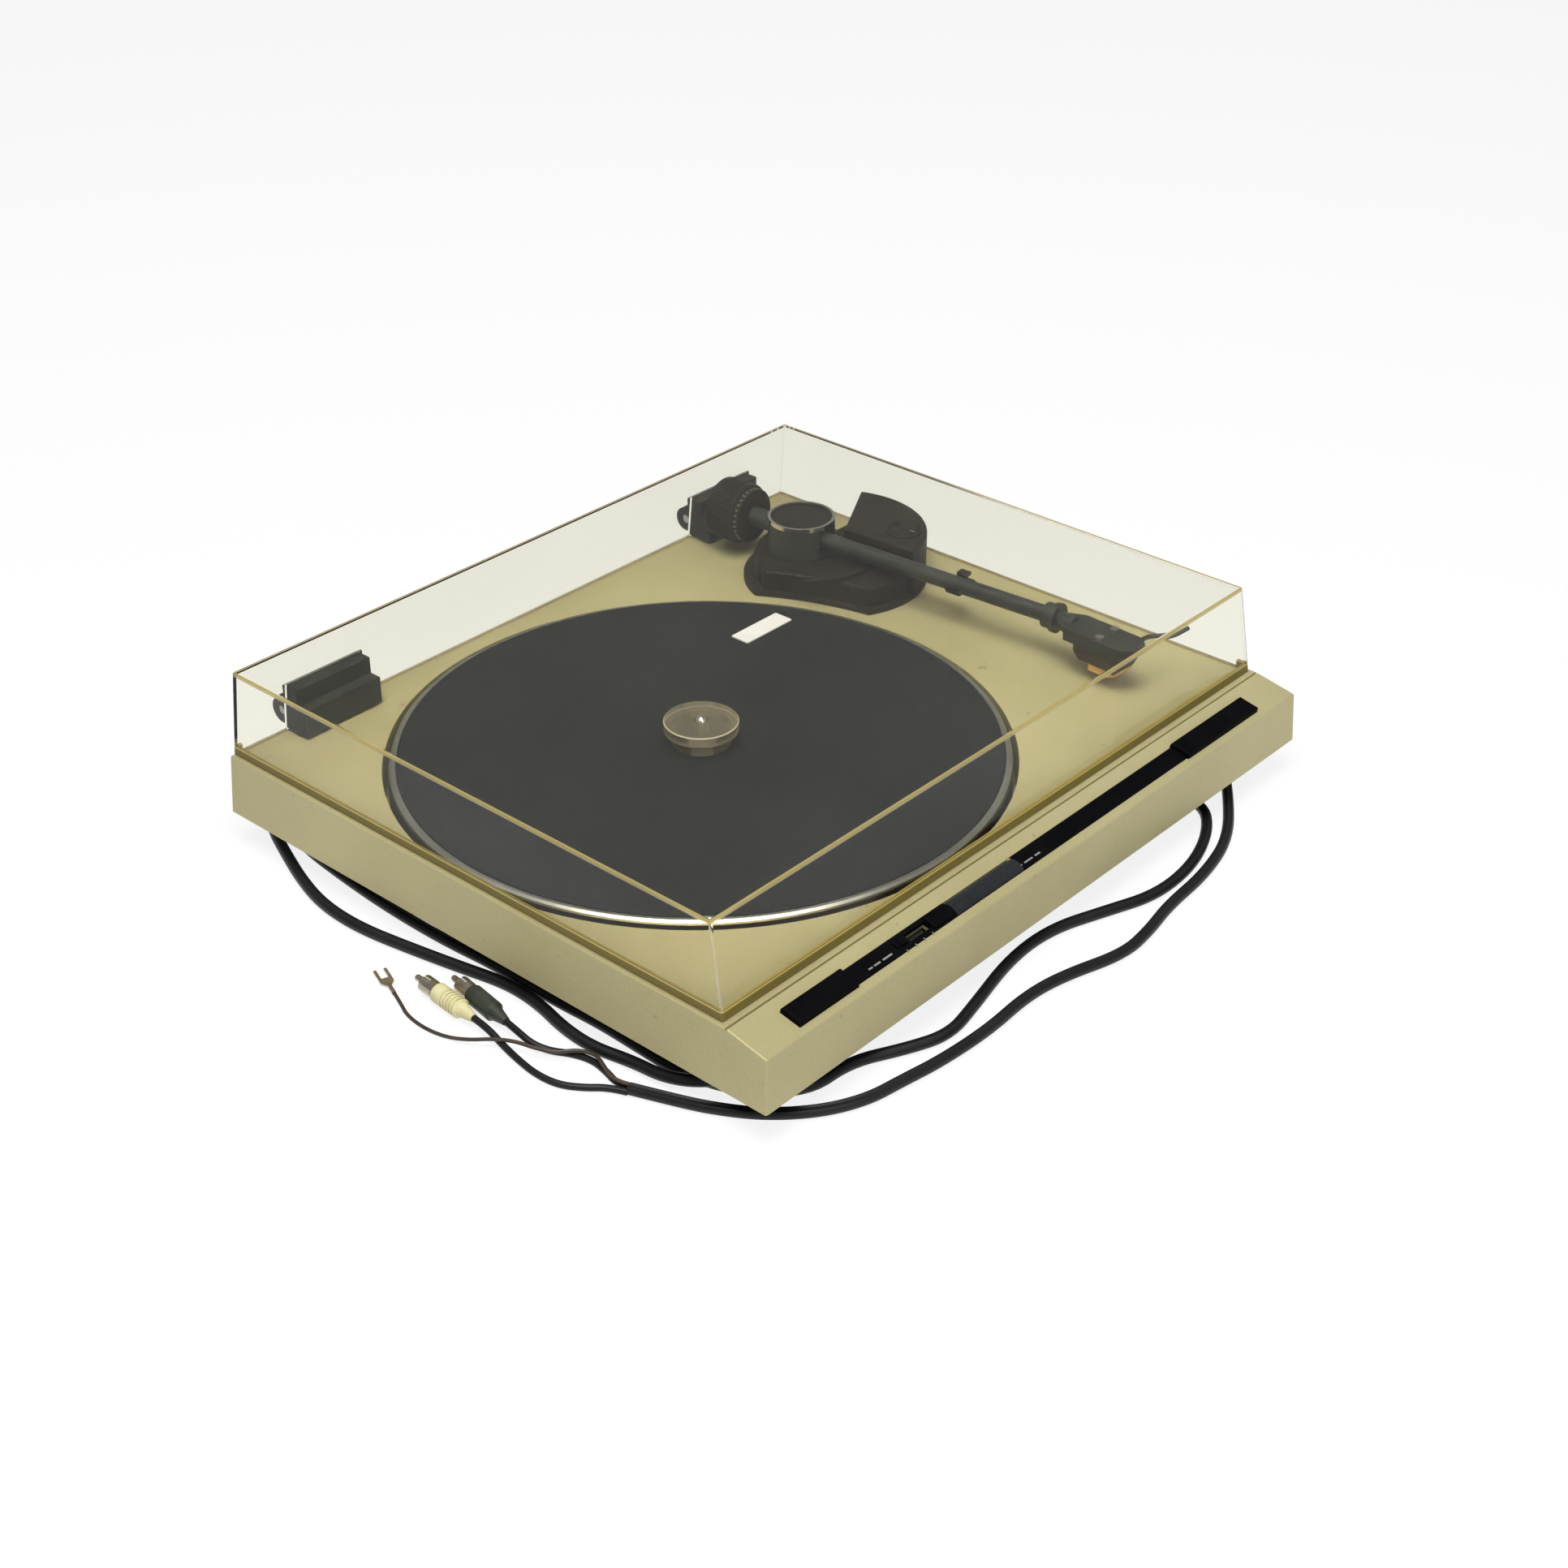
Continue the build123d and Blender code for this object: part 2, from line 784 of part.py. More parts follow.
def tower_block():
    """The raised block on the right of the pivot, with straight sides towards the arm and the back."""
    r = base_radius
    corner = (base_x + tower_corner_x_share * r, base_y + tower_corner_y_share * r)
    points = [
        (base_x + tower_front_share * r, base_y + tower_front_y_share * r - overrun),
        (base_x + r + overrun, base_y + tower_front_y_share * r - overrun),
        (base_x + r + overrun, base_y + tower_back_y_share * r + overrun / 2),
        (base_x + tower_back_x_share * r, base_y + tower_back_y_share * r),
        corner,
    ]
    z0 = deck_z + base_flange / 2
    prism = Pos(0, 0, z0) * extrude(make_face(Polyline(points, close=True)), tower_top - z0)
    tower = prism & post(r - tower_inset, z0, tower_top, base_x, base_y)
    return fillet(tower.edges().group_by(Axis.Z)[-1], base_round)


def lift_rod_place():
    """Where the lift bar's rod goes through the base."""
    turn = radians(-90 + arm_rest_angle - lift_rod_at)
    return pivot_x + lift_reach * cos(turn), pivot_y + lift_reach * sin(turn)


def arm_base():
    low = raised(base_radius, 0, base_gap, deck_z, deck_z + base_flange)
    body = raised(base_radius - base_step, base_shift_share * base_step, base_gap + base_step, deck_z, base_top)
    body = fillet(body.edges().group_by(Axis.Z)[-1], base_round)
    body -= swing_cut(deck_z + base_flange)
    shape = low + body + tower_block()
    shape -= post(sleeve_radius + running_gap, 0, base_top + overrun, pivot_x, pivot_y)
    shape -= post(lift_rod + seat_gap, 0, base_top + overrun, *lift_rod_place())
    shape -= post(dial_radius + seat_gap, tower_top - dial_recess, tower_top + overrun, dial_x, dial_y)
    return shape


def bias_dial():
    """Side-force dial with a finger dimple."""
    z0 = tower_top - dial_recess
    z1 = tower_top + dial_proud
    knob = post(dial_radius, z0, z1, dial_x, dial_y)
    knob = chamfer(knob.edges().group_by(Axis.Z)[-1], dial_rim)
    return knob - post(dial_radius / 5, z1 - dial_rim, z1 + overrun, dial_x, dial_y + dial_radius / 2)


def arm_bearing():
    """The sleeve that carries the arm's shaft, flanged under the deck."""
    z1 = base_top
    z0 = deck_z - wall - sleeve_length
    body = post(sleeve_radius, z0, z1, pivot_x, pivot_y)
    flange = deck_z - wall
    body += post(sleeve_flange, flange - sleeve_flange_height, flange, pivot_x, pivot_y)
    return body - post(arm_shaft_radius + running_gap, z0 + bearing_seat, z1 + overrun, pivot_x, pivot_y)


def lift_bar():
    """A curved bar under the arm, on a rod through the base."""
    z0 = base_top + arm_clearance
    z1 = z0 + lift_height
    outer = post(lift_reach + lift_width / 2, z0, z1, pivot_x, pivot_y)
    inner = post(lift_reach - lift_width / 2, z0 - overrun, z1 + overrun, pivot_x, pivot_y)
    first = -90 + arm_rest_angle - lift_start
    points = [(0, 0)]
    for k in range(5):
        turn = radians(first - k * lift_sweep / 4)
        points.append((2 * lift_reach * cos(turn), 2 * lift_reach * sin(turn)))
    sector = Pos(pivot_x, pivot_y, z0 - overrun) * extrude(make_face(Polyline(points, close=True)), 2 * overrun + lift_height)
    bar = (outer - inner) & sector
    x, y = lift_rod_place()
    return bar + post(lift_rod, z0 - lift_rod_length, z1 - lift_height / 4, x, y)


def arm_rest():
    """Cradle under the parked tube, held by a bracket from the front of the raised block."""
    half = rest_length / 2
    front = -rest_at - half
    inside = base_radius - tower_inset + running_gap
    top = clip_height - clip_radius - clip_gap
    outer = tube_radius + rest_wall
    cradle = Pos(0, -rest_at, 0) * Rot(90, 0, 0) * Cylinder(outer, rest_length)
    cradle -= block(-outer - overrun, outer + overrun, front - overrun, -rest_at + half + overrun, 0, outer + overrun)
    cradle += block(tube_radius, rest_arm_far, front, -rest_at + half, -rest_web_bottom, -rest_web_top)
    cradle += block(tube_radius + clip_gap, clip_side + clip_radius, front, -rest_at + half, -rest_web_bottom, top)
    cradle -= Pos(0, -rest_at, 0) * Rot(90, 0, 0) * Cylinder(tube_radius + seat_gap, rest_length + overrun)
    arm = block(rest_arm_near, rest_arm_far, front, -inside, -rest_arm_bottom, -rest_arm_top)
    seat = pivot_y - base_y + inside + rest_pad_thickness
    pad = block(rest_arm_near - rest_pad, rest_arm_far + 2 * rest_pad, -seat, -inside,
                -rest_arm_bottom - 2 * rest_pad, -rest_arm_top + rest_pad)
    bracket = in_arm(cradle + arm + pad)
    return bracket - post(inside, deck_z, tower_top, base_x, base_y)


def rest_clip():
    """The small locking clip, folded outwards."""
    half = rest_length / 2 - clip_gap
    bar = Pos(clip_side, -rest_at, clip_height) * Rot(90, 0, 0) * Cylinder(clip_radius, 2 * half)
    leaf = block(clip_side, clip_side + clip_reach, -rest_at - half, -rest_at + half,
                 clip_height - clip_radius / 2, clip_height + clip_radius)
    return in_arm(bar + leaf)


# Arm pivot
def pivot_housing():
    """Drum on the arm's upright shaft, slotted for the tube."""
    low = drum_bottom - arm_z
    drum = post(drum_radius, low, drum_top - cap_thickness)
    half = fork_slot / 2
    drum -= block(-half, half, -drum_radius - overrun, drum_radius + overrun,
                  -gimbal_block - fork_play, drum_top + overrun)
    shaft = post(arm_shaft_radius, deck_z - wall - sleeve_length + bearing_seat + running_gap - arm_z, low + fork_play)
    drum += shaft
    hole = rod_x(pin_radius, -drum_radius + cap_rim, drum_radius - cap_rim, 0, 0)
    return in_arm(drum - hole)


def pitch_pins():
    """Two steel pins between the drum and the arm's block."""
    inner = gimbal_block / 2
    outer = drum_radius - cap_rim - seat_gap
    return [in_arm(rod_x(pin_radius - running_gap, min(s * inner, s * outer), max(s * inner, s * outer), 0, 0))
            for s in (-1, 1)]


def pivot_cap():
    z0 = drum_top - cap_thickness
    cap = post(drum_radius - cap_rim, z0, drum_top)
    return in_arm(cap - post(drum_radius - 2 * cap_rim, drum_top - cap_dish, drum_top + overrun))


def pivot_rim():
    z0 = drum_top - cap_thickness
    ring = post(drum_radius, z0, drum_top + cap_dish / 2)
    return in_arm(ring - post(drum_radius - cap_rim, z0 - overrun, drum_top + overrun))


# Arm, head and counterweight
def arm_tube():
    """Straight tube, the pivot block round it and the thicker stub behind."""
    tube = rod_y(tube_radius, -collar_at, 0, 0, 0)
    back = weight_near + weight_length - weight_round
    tube += rod_y(stub_radius, 0, back, 0, 0)
    half = gimbal_length / 2
    tube += block(-gimbal_block, gimbal_block, -half, half, -gimbal_block, gimbal_block)
    for s in (-1, 1):
        tube -= rod_x(pin_radius, min(s * gimbal_block / 2 - s * running_gap, s * 2 * gimbal_block),
                      max(s * gimbal_block / 2 - s * running_gap, s * 2 * gimbal_block), 0, 0)
    return in_arm(tube)


def shell_collar():
    """Ridged locking collar between the tube and the head."""
    mid = collar_length / 2
    collar = rod_y(collar_radius, -mid, mid, 0, 0)
    collar += rod_y(collar_radius + collar_ridge, -mid, -mid / 3, 0, 0)
    collar -= rod_y(tube_radius + running_gap, 0, collar_length, 0, 0)
    return in_arm(Pos(0, -collar_at, 0) * collar)


def headshell():
    """Tapered neck and flat plate with a rounded nose and side lips."""
    start = head_start()
    half = head_width / 2
    top = head_z - arm_z + head_thickness / 2
    low = top - head_thickness
    neck = rod_y(tube_radius, -start - head_neck, -start, 0, 0)
    outline = Polyline(
        (-tube_radius, -start),
        (-half, -start - head_neck),
        (-half, -start - head_length + head_round),
        (-half + head_round, -start - head_length),
        (half - head_round, -start - head_length),
        (half, -start - head_length + head_round),
        (half, -start - head_neck),
        (tube_radius, -start),
        close=True,
    )
    plate = Pos(0, 0, low) * extrude(make_face(outline), head_thickness)
    lip = head_thickness / 2
    for s in (-1, 1):
        x0 = min(s * half, s * (half - lip))
        plate += block(x0, x0 + lip, -start - head_length + head_round, -start - head_neck, low - head_lip, low)
    for x in (-shell_screw_spread, shell_screw_spread):
        plate -= post(shell_screw_radius + running_gap, low - overrun, top + overrun, x, -screw_line())
    return in_head(plate + neck)


def head_start():
    """Where the angled head begins, clear of the collar."""
    return collar_length / 2 + seat_gap + tube_radius * sin(radians(head_angle))


def screw_line():
    """Distance of the cartridge screws in front of the collar."""
    return head_start() + head_length - cartridge_front - cartridge_length / 2


def shell_low():
    return head_z - arm_z - head_thickness / 2


def shell_screws():
    """Two screws that hold the cartridge."""
    items = []
    top = shell_low() + head_thickness
    for x in (-shell_screw_spread, shell_screw_spread):
        shank = post(shell_screw_radius, shell_low() - head_lip, top, x, -screw_line())
        items.append(in_head(shank + post(shell_screw_head, top, top + shell_screw_radius, x, -screw_line())))
    return items


def cartridge():
    """The pickup body, cut back towards the stylus."""
    start = screw_line() - cartridge_length / 2
    end = start + cartridge_length
    top = shell_low()
    low = top - cartridge_height
    side = Polyline(
        (-start, top),
        (-end, top),
        (-end, low + 2 * cartridge_chamfer),
        (-end + cartridge_chamfer, low),
        (-start - cartridge_chamfer, low),
        (-start, low + cartridge_chamfer),
        close=True,
    )
    half = cartridge_width / 2
    body = extrude(Plane.YZ * make_face(side), half, both=True)
    for x in (-shell_screw_spread, shell_screw_spread):
        body -= post(shell_screw_radius + running_gap, top - head_lip - seat_gap, top + overrun, x, -screw_line())
    return in_head(body)


def stylus_holder():
    """The coloured stylus carrier under the cartridge."""
    end = screw_line() + cartridge_length / 2 - cartridge_chamfer
    top = shell_low() - cartridge_height
    low = top - holder_height
    side = Polyline(
        (-end + holder_length, top),
        (-end, top),
        (-end, top - holder_height / 3),
        (-end + holder_front, low),
        (-end + holder_length, low),
        close=True,
    )
    return in_head(extrude(Plane.YZ * make_face(side), holder_width / 2, both=True))


def stylus():
    """A fine bar that slants down to the tip."""
    end = screw_line() + cartridge_length / 2 - cartridge_chamfer
    top = shell_low() - cartridge_height - holder_height - stylus_radius - running_gap
    start = Vector(0, -end + holder_front + 2 * stylus_radius, top)
    tip = Vector(0, -end + holder_front - stylus_length, top - stylus_drop)
    path = Line(start, tip)
    bar = sweep(Plane(origin=start, z_dir=tip - start) * Circle(stylus_radius), path=path)
    return in_head(bar + post(stylus_radius, tip.Z - 2 * stylus_radius, tip.Z, tip.X, tip.Y))


def finger_lift():
    """Curved finger lift from the side of the head."""
    end = head_start() + head_length
    z = head_z - arm_z
    x = [head_width / 2 + share * finger_reach for share in finger_shares]
    y = -end + head_round + finger_radius
    points = [
        (head_width / 2, y, z),
        (x[0], y, z),
        (x[1], -end - head_round / 2, z + finger_rise / 3),
        (x[2], -end - head_round, z + finger_rise),
    ]
    return in_head(tube(points, finger_radius))


def counterweight():
    """The rear weight, bored for the stub."""
    near = weight_near + ring_length
    body = rod_y(weight_radius, near, weight_near + weight_length, 0, 0)
    body = fillet(body.edges().filter_by(GeomType.CIRCLE), weight_round)
    return in_arm(body - rod_y(stub_radius + running_gap, -overrun, weight_near + weight_length + overrun, 0, 0))


def scale_ring():
    """The force scale in front of the weight."""
    ring = rod_y(ring_radius, weight_near, weight_near + ring_length, 0, 0)
    return in_arm(ring - rod_y(stub_radius + running_gap, 0, weight_near + weight_length, 0, 0))


# Dust cover and hinges
def cover_block(inset, top_inset):
    """The cover's tapered form, drawn in by an inset."""
    x0 = half_width - side_draft - cover_inset - inset
    y0 = groove_y + cover_front + inset
    y1 = deck_back - inset
    low = Rectangle(2 * x0, y1 - y0)
    high = Rectangle(2 * (x0 - cover_side_draft), y1 - y0 - cover_front_draft - cover_back_draft)
    z0 = deck_z + cover_gap
    z1 = deck_z + cover_height - top_inset
    mid = (y0 + y1) / 2
    shift = (cover_front_draft - cover_back_draft) / 2
    return loft([Pos(0, mid, z0) * low, Pos(0, mid + shift, z1) * high])


def dust_cover():
    outer = cover_block(0, 0)
    outer = fillet(outer.edges().filter_by(lambda e: e.center().Z > deck_z + 2 * cover_gap), cover_round)
    shell = outer - cover_block(cover_wall, cover_wall)
    for side in (-1, 1):
        x = side * hinge_mid
        shell -= block(x - hinge_width / 2, x + hinge_width / 2, deck_back - hinge_block_depth, deck_back + overrun,
                       deck_z, deck_z + hinge_slot_height)
    return shell


def cover_badge():
    """A bare plate on top of the cover."""
    z0 = deck_z + cover_height
    plate = block(badge_x - badge_length / 2, badge_x + badge_length / 2, badge_y - badge_width / 2,
                  badge_y + badge_width / 2, z0, z0 + badge_thickness)
    return fillet(plate.edges().filter_by(Axis.Z), badge_thickness)


def hinge_clip(side):
    """The block that holds the cover, with two knuckles behind it."""
    half = hinge_width / 2 - hinge_side_gap
    x = side * hinge_mid
    z0 = deck_z + hinge_block_bottom
    z1 = deck_z + hinge_block_top
    y1 = deck_back
    y0 = y1 - hinge_block_depth
    body = block(x - half, x + half, y0 + hinge_block_step, y1, z0, z1)
    body += block(x - half, x + half, y0, y1, z0, z1 - hinge_step_height)
    body += rod_x(hinge_radius, x - half, x + half, hinge_y, hinge_z)
    body += block(x - half, x + half, y1 - hinge_radius, hinge_y, hinge_z - hinge_radius, hinge_z + hinge_radius)
    gap = hinge_knuckle / 2 + hinge_side_gap
    body -= rod_x(hinge_radius + hinge_side_gap, x - gap, x + gap, hinge_y, hinge_z)
    body -= block(x - gap, x + gap, hinge_y - hinge_radius, hinge_y + hinge_radius, z0 - overrun, hinge_z)
    return body - rod_x(hinge_pin + running_gap, x - hinge_width, x + hinge_width, hinge_y, hinge_z)


def socket_back():
    return cabinet_back + seat_gap + socket_plate


def hinge_socket(side):
    """Plate on the cabinet's back with the middle knuckle."""
    x = side * hinge_mid
    half = hinge_knuckle / 2
    y0 = cabinet_back + seat_gap
    z0 = hinge_z - hinge_radius - socket_depth
    body = rod_x(hinge_radius, x - half, x + half, hinge_y, hinge_z)
    body += block(x - half, x + half, y0, y0 + socket_plate, z0, hinge_z)
    wide = socket_width / 2
    body += block(x - wide, x + wide, y0, y0 + socket_plate, z0, z0 + socket_screw_drop)
    body -= rod_x(hinge_pin, x - hinge_width, x + hinge_width, hinge_y, hinge_z)
    for sx in socket_screw_x():
        body -= rod_y(screw_radius + running_gap, y0 - overrun, y0 + overrun, sx, z0 + socket_screw_drop / 2)
    return body


# Cords
def bend_radii(points):
    """Each bend as wide as its two runs allow."""
    radii = []
    for a, b, c in zip(points, points[1:], points[2:]):
        before = Vector(*b) - Vector(*a)
        after = Vector(*c) - Vector(*b)
        turn = radians(before.get_angle(after))
        radii.append(bend_share * min(before.length, after.length) / tan(turn / 2))
    return radii


def tube(points, radius):
    """A round tube along straight runs joined by tangent arcs."""
    path = FilletPolyline(*points, radius=bend_radii(points))
    start = Vector(*points[0])
    section = Plane(origin=start, z_dir=Vector(*points[1]) - start) * Circle(radius)
    return sweep(section, path=path)


def cord_length(points):
    """The length of the route with its arcs."""
    return FilletPolyline(*points, radius=bend_radii(points)).length


def report_cord(name, points, radius, solid):
    """Print the bends, the length and how the volume compares with it."""
    radii = bend_radii(points)
    runs = [(Vector(*b) - Vector(*a)).length for a, b in zip(points, points[1:])]
    length = cord_length(points)
    share = solid.volume / (pi * radius ** 2 * length)
    ratio = max(max(a, b) / min(a, b) for a, b in zip(runs, runs[1:]))
    print(f"{name}: length {length:.0f}, tightest bend {min(radii):.1f}, longest run {max(runs):.0f}, "
          f"run ratio {ratio:.2f}, volume share {share:.4f}")


def gland_end(x):
    """Where a cord leaves its entry."""
    return (x, cabinet_back + gland_flange + gland_tail, gland_z)


def beside(points):
    """Keep a route at its distance from the side of the cabinet that it follows."""
    grow = half_width - route_half_width
    return [(x + grow * max(-1, min(1, x / route_middle)), y, z) for x, y, z in points]


def cord_gland(x, radius):
    """Flanged strain relief through the back wall."""
    y0 = cabinet_back
    inner = deck_back - wall
    body = rod_y(gland_radius, y0, y0 + gland_flange, x, gland_z)
    body += rod_y(gland_neck, inner - gland_flange, y0, x, gland_z)
    tail = loft([
        Plane(origin=(x, y0 + gland_flange, gland_z), z_dir=(0, 1, 0)) * Circle(gland_neck),
        Plane(origin=(x, y0 + gland_flange + gland_tail, gland_z), z_dir=(0, 1, 0)) * Circle(radius + seat_gap),
    ])
    return body + tail


signal_route = [gland_end(signal_gland_x)] + beside([
    (-60, 198, 26), (-64, 208, 20.5), (-73, 214, 11), (-88, 213, 4.5), (-110, 205, 2.9),
    (-136, 194, 2.9), (-163, 184, 2.9), (-184, 168, 2.9), (-193, 143, 2.9), (-197, 110, 2.9), (-200, 72, 2.9),
    (-200.5, 31, 2.9), (-198, -3, 2.9), (-198.6, -45, 2.9), (-197, -71, 2.9), (-198, -97, 2.9), (-199, -125, 2.9),
    (-190, -154, 2.9), (-170, -175, 2.9), (-143, -175, 2.9), (-119, -188, 2.9), (-98, -196, 2.9), (-74, -191, 2.9),
    (-33, -181, 2.9), (0, -181, 2.9), (30, -192, 2.9), (58, -202.5, 2.9), (92, -201, 2.9), (123, -190, 2.9),
    (144, -174, 2.9), (143, -148, 2.9), (135, -122, 2.9), (138, -95, 2.9), (157, -75, 2.9), (183, -79, 2.9),
    (197, -102, 2.9), (196, -132, 2.9), (187, -157, 2.9), (162, -177, 2.9), (125, -201, 2.9), (89, -210, 2.9),
    (54, -212, 2.9), (30, -217, 2.9), (6, -219, 2.9), (-27, -208, 2.9), (-52, -204.5, 2.9), (-83, -207, 2.9),
    (-116, -205, 2.9), (-138, -201, 2.9), (-158, -198, 2.9), (-178, -188, 2.9), (-196, -171, 2.9),
    (-208, -151, 2.9), (-215, -134, 2.9), (-222, -115, 2.9),
])
split = signal_route[-1]
split_turn = atan2(19.0, -7.0)
across = (sin(split_turn), -cos(split_turn))

white_axis = [Vector(*point) for point in beside([(-234.9, -29, 5.3), (-231, 15, 5.3)])]
dark_axis = [Vector(*point) for point in beside([(-227, -42, 5.3), (-220, 2, 5.3)])]
spade_axis = [Vector(*point) for point in beside([(-243, 17, 1.2), (-235.6, 36, 1.2)])]
white_route = [(split[0] - lead_spread * across[0], split[1] - lead_spread * across[1], 2.2)] + beside([
    (-226.8, -107.2, 2.2),
    (-234, -99, 1.9), (-240, -89, 1.8), (-241.4, -76, 1.8), (-239.4, -62, 1.8), (-237.2, -49.5, 2.6),
    (-235.8, -39, 5.3),
]) + [tuple(white_axis[0])]
dark_route = [(split[0] + lead_spread * across[0], split[1] + lead_spread * across[1], 2.2)] + beside([
    (-222.6, -108.2, 2.2),
    (-219.4, -98.5, 1.9), (-217.6, -88, 1.8), (-220.4, -77.5, 1.8), (-226, -69, 2.1), (-229, -60.5, 3.6),
    (-228.57, -51.88, 5.3),
]) + [tuple(dark_axis[0])]
ground_route = [(split[0], split[1], 5.4)] + beside([
    (-224.4, -108.5, 5.4), (-221, -99, 5.6), (-217, -90.5, 5.5), (-219.5, -81, 5.4),
    (-227.5, -75, 5.2), (-232, -66, 5.6), (-234.6, -56, 5.9), (-239.5, -46.5, 5.2), (-245.6, -37, 3.2),
    (-249.6, -26, 1.4), (-251.4, -13, 1.0), (-250.2, 0, 1.1), (-246.26, 8.63, 1.2),
]) + [tuple(spade_axis[0])]
coil_inset = 114.0
coil_x = coil_inset - half_width
coil_y = -70.0
coil_radius = 34.0
coil_pitch = 6.8
coil_lift = 6.6
coil_turns_in = 4
coil_turns_out = 3
power_route = [gland_end(power_gland_x)] + beside([
    (-120, 198, 26), (-125, 208, 20), (-134, 213, 10), (-149, 209, 4), (-166, 197, 3),
    (-182, 185, 3), (-194, 167, 3), (-203, 146, 3), (-213, 121, 3), (-220, 96, 3), (-221, 68, 3), (-216, 37, 3),
    (-210, 6, 3), (-204.6, -18, 3), (-205.4, -40, 3), (-211, -63, 3), (-212, -83, 3), (-207.5, -103, 3),
    (-207.8, -122, 4.8), (-202.5, -140, 8.1), (-187.5, -153, 9.9), (-168, -165, 8.4), (-142, -158, 6),
    (-130, -132, 3.8), (-130, -104, 3.2),
]) + [(coil_x - coil_radius, coil_y, 3.2)]


def half_turn(x, z, radius, side):
    """Half a turn about (x, coil_y), clockwise from the side that it starts on."""
    start = Vector(x + side * radius, coil_y, z)
    middle = Vector(x, coil_y - side * radius, z)
    end = Vector(x - side * radius, coil_y, z)
    return ThreePointArc(start, middle, end)


def coil_path():
    """One unbroken line: in by half turns, up a layer in the innermost one, and out again."""
    edges = []
    x, z, radius, side = coil_x, power_route[-1][2], coil_radius, -1
    for k in range(coil_turns_in):
        edges.append(half_turn(x, z, radius, side))
        x -= side * coil_pitch / 2
        radius -= coil_pitch / 2
        side = -side
    low = Vector(x + side * radius, coil_y, z)
    middle = Vector(x, coil_y - side * radius, z + coil_lift / 2)
    high = Vector(x - side * radius, coil_y, z + coil_lift)
    edges.append(TangentArc(low, middle, tangent=(0, -side, 0)))
    edges.append(TangentArc(middle, high, tangent=(0, -side, 0), tangent_from_first=False))
    for k in range(coil_turns_out):
        side = -side
        x -= side * coil_pitch / 2
        radius += coil_pitch / 2
        edges.append(half_turn(x, z + coil_lift, radius, side))
    return Wire(edges)


def coil_gap(path, radius):
    """The least gap between turns, measured on points along the line."""
    count = 400
    points = [path.position_at(k / count) for k in range(count + 1)]
    skip = ceil(pi * radius * 2 / (path.length / count))
    least = path.length
    for i, p in enumerate(points):
        for q in points[i + skip:]:
            least = min(least, (p - q).length)
    return least - 2 * radius


def tail_route():
    """From the coil to the mains plug behind the cabinet."""
    return [tuple(coil_path() @ 1)] + beside([
        (-130, -46, 9.8), (-133, -20, 6.5), (-131, 14, 3.2), (-120, 54, 3), (-98, 92, 3), (-70, 124, 3),
        (-44, 152, 3), (-20, 178, 4.2), (4, 199.5, 6.2), (24, 206, 6.7),
    ]) + [tuple(mains_axis[0])]


def on_axis(axis, shape):
    """Place a shape drawn along Z onto a plug's line."""
    return Plane(origin=axis[0], z_dir=axis[1] - axis[0]) * shape


def signal_plug(axis, ribs):
    """Moulded phono plug body, with a collar of ribs on one of them."""
    profile = [
        (0, 0),
        (lead_radius + seat_gap, 0),
        (plug_radius - plug_step, plug_nose),
        (plug_radius, plug_nose + plug_step),
        (plug_radius, plug_length - plug_step),
        (plug_radius - plug_step, plug_length),
        (0, plug_length),
    ]
    body = turned(profile)
    for k in range(ribs):
        z = plug_nose + (2 * k + 1) * plug_step
        body -= post(plug_radius + overrun, z, z + plug_step) - post(plug_radius - plug_step / 2, 0, plug_length)
    return on_axis(axis, body - post(pin_stem, plug_length - plug_stem_depth, plug_length + overrun))


def signal_contact(axis):
    """Skirt and pin of a phono plug."""
    z1 = plug_length + skirt_length
    skirt = post(skirt_radius, plug_length, z1)
    skirt -= post(skirt_radius - skirt_wall, plug_length + skirt_wall, z1 + overrun)
    skirt -= block(-skirt_wall / 2, skirt_wall / 2, -skirt_radius - overrun, skirt_radius + overrun,
                   z1 - skirt_slit, z1 + overrun)
    length = (axis[1] - axis[0]).length
    pin = post(pin_stem, plug_length - plug_stem_depth, length - pin_stem)
    tip = Pos(0, 0, length - pin_stem) * Sphere(pin_stem)
    return on_axis(axis, skirt + pin + tip)


def mains_plug():
    """Moulded two-blade plug lying on its side."""
    length = mains_length
    outline = Polyline(
        (0, -mains_neck),
        (length - mains_head, -mains_neck - mains_taper),
        (length - mains_head, -mains_width / 2),
        (length, -mains_width / 2),
        (length, mains_width / 2),
        (length - mains_head, mains_width / 2),
        (length - mains_head, mains_neck + mains_taper),
        (0, mains_neck),
        close=True,
    )
    body = extrude(make_face(outline), mains_height / 2, both=True)
    body = fillet(body.edges().filter_by(Axis.Z), mains_round)
    return Pos(*mains_axis[0]) * body


def mains_blades():
    x0 = mains_axis[0].X + mains_length
    half = blade_height / 2
    z = mains_axis[0].Z
    return [block(x0, x0 + blade_length, mains_axis[0].Y + s * blade_spread - blade_thickness / 2,
                  mains_axis[0].Y + s * blade_spread + blade_thickness / 2, z - half, z + half) for s in (-1, 1)]


def ground_spade():
    """Crimped fork terminal."""
    direction = spade_axis[1] - spade_axis[0]
    flat = Plane(origin=spade_axis[0], x_dir=direction, z_dir=(0, 0, 1))
    reach = direction.length
    half = spade_width / 2
    inner = spade_slot / 2
    root = reach - spade_tine
    outline = Polyline(
        (spade_crimp, -ground_radius),
        (root - half, -half),
        (reach, -half),
        (reach, -inner),
        (root, -inner),
        (root, inner),
        (reach, inner),
        (reach, half),
        (root - half, half),
        (spade_crimp, ground_radius),
        close=True,
    )
    fork = flat * extrude(make_face(outline), spade_thickness / 2, both=True)
    return fork + on_axis(spade_axis, post(ground_radius + spade_thickness / 4, 0, spade_crimp + spade_thickness))


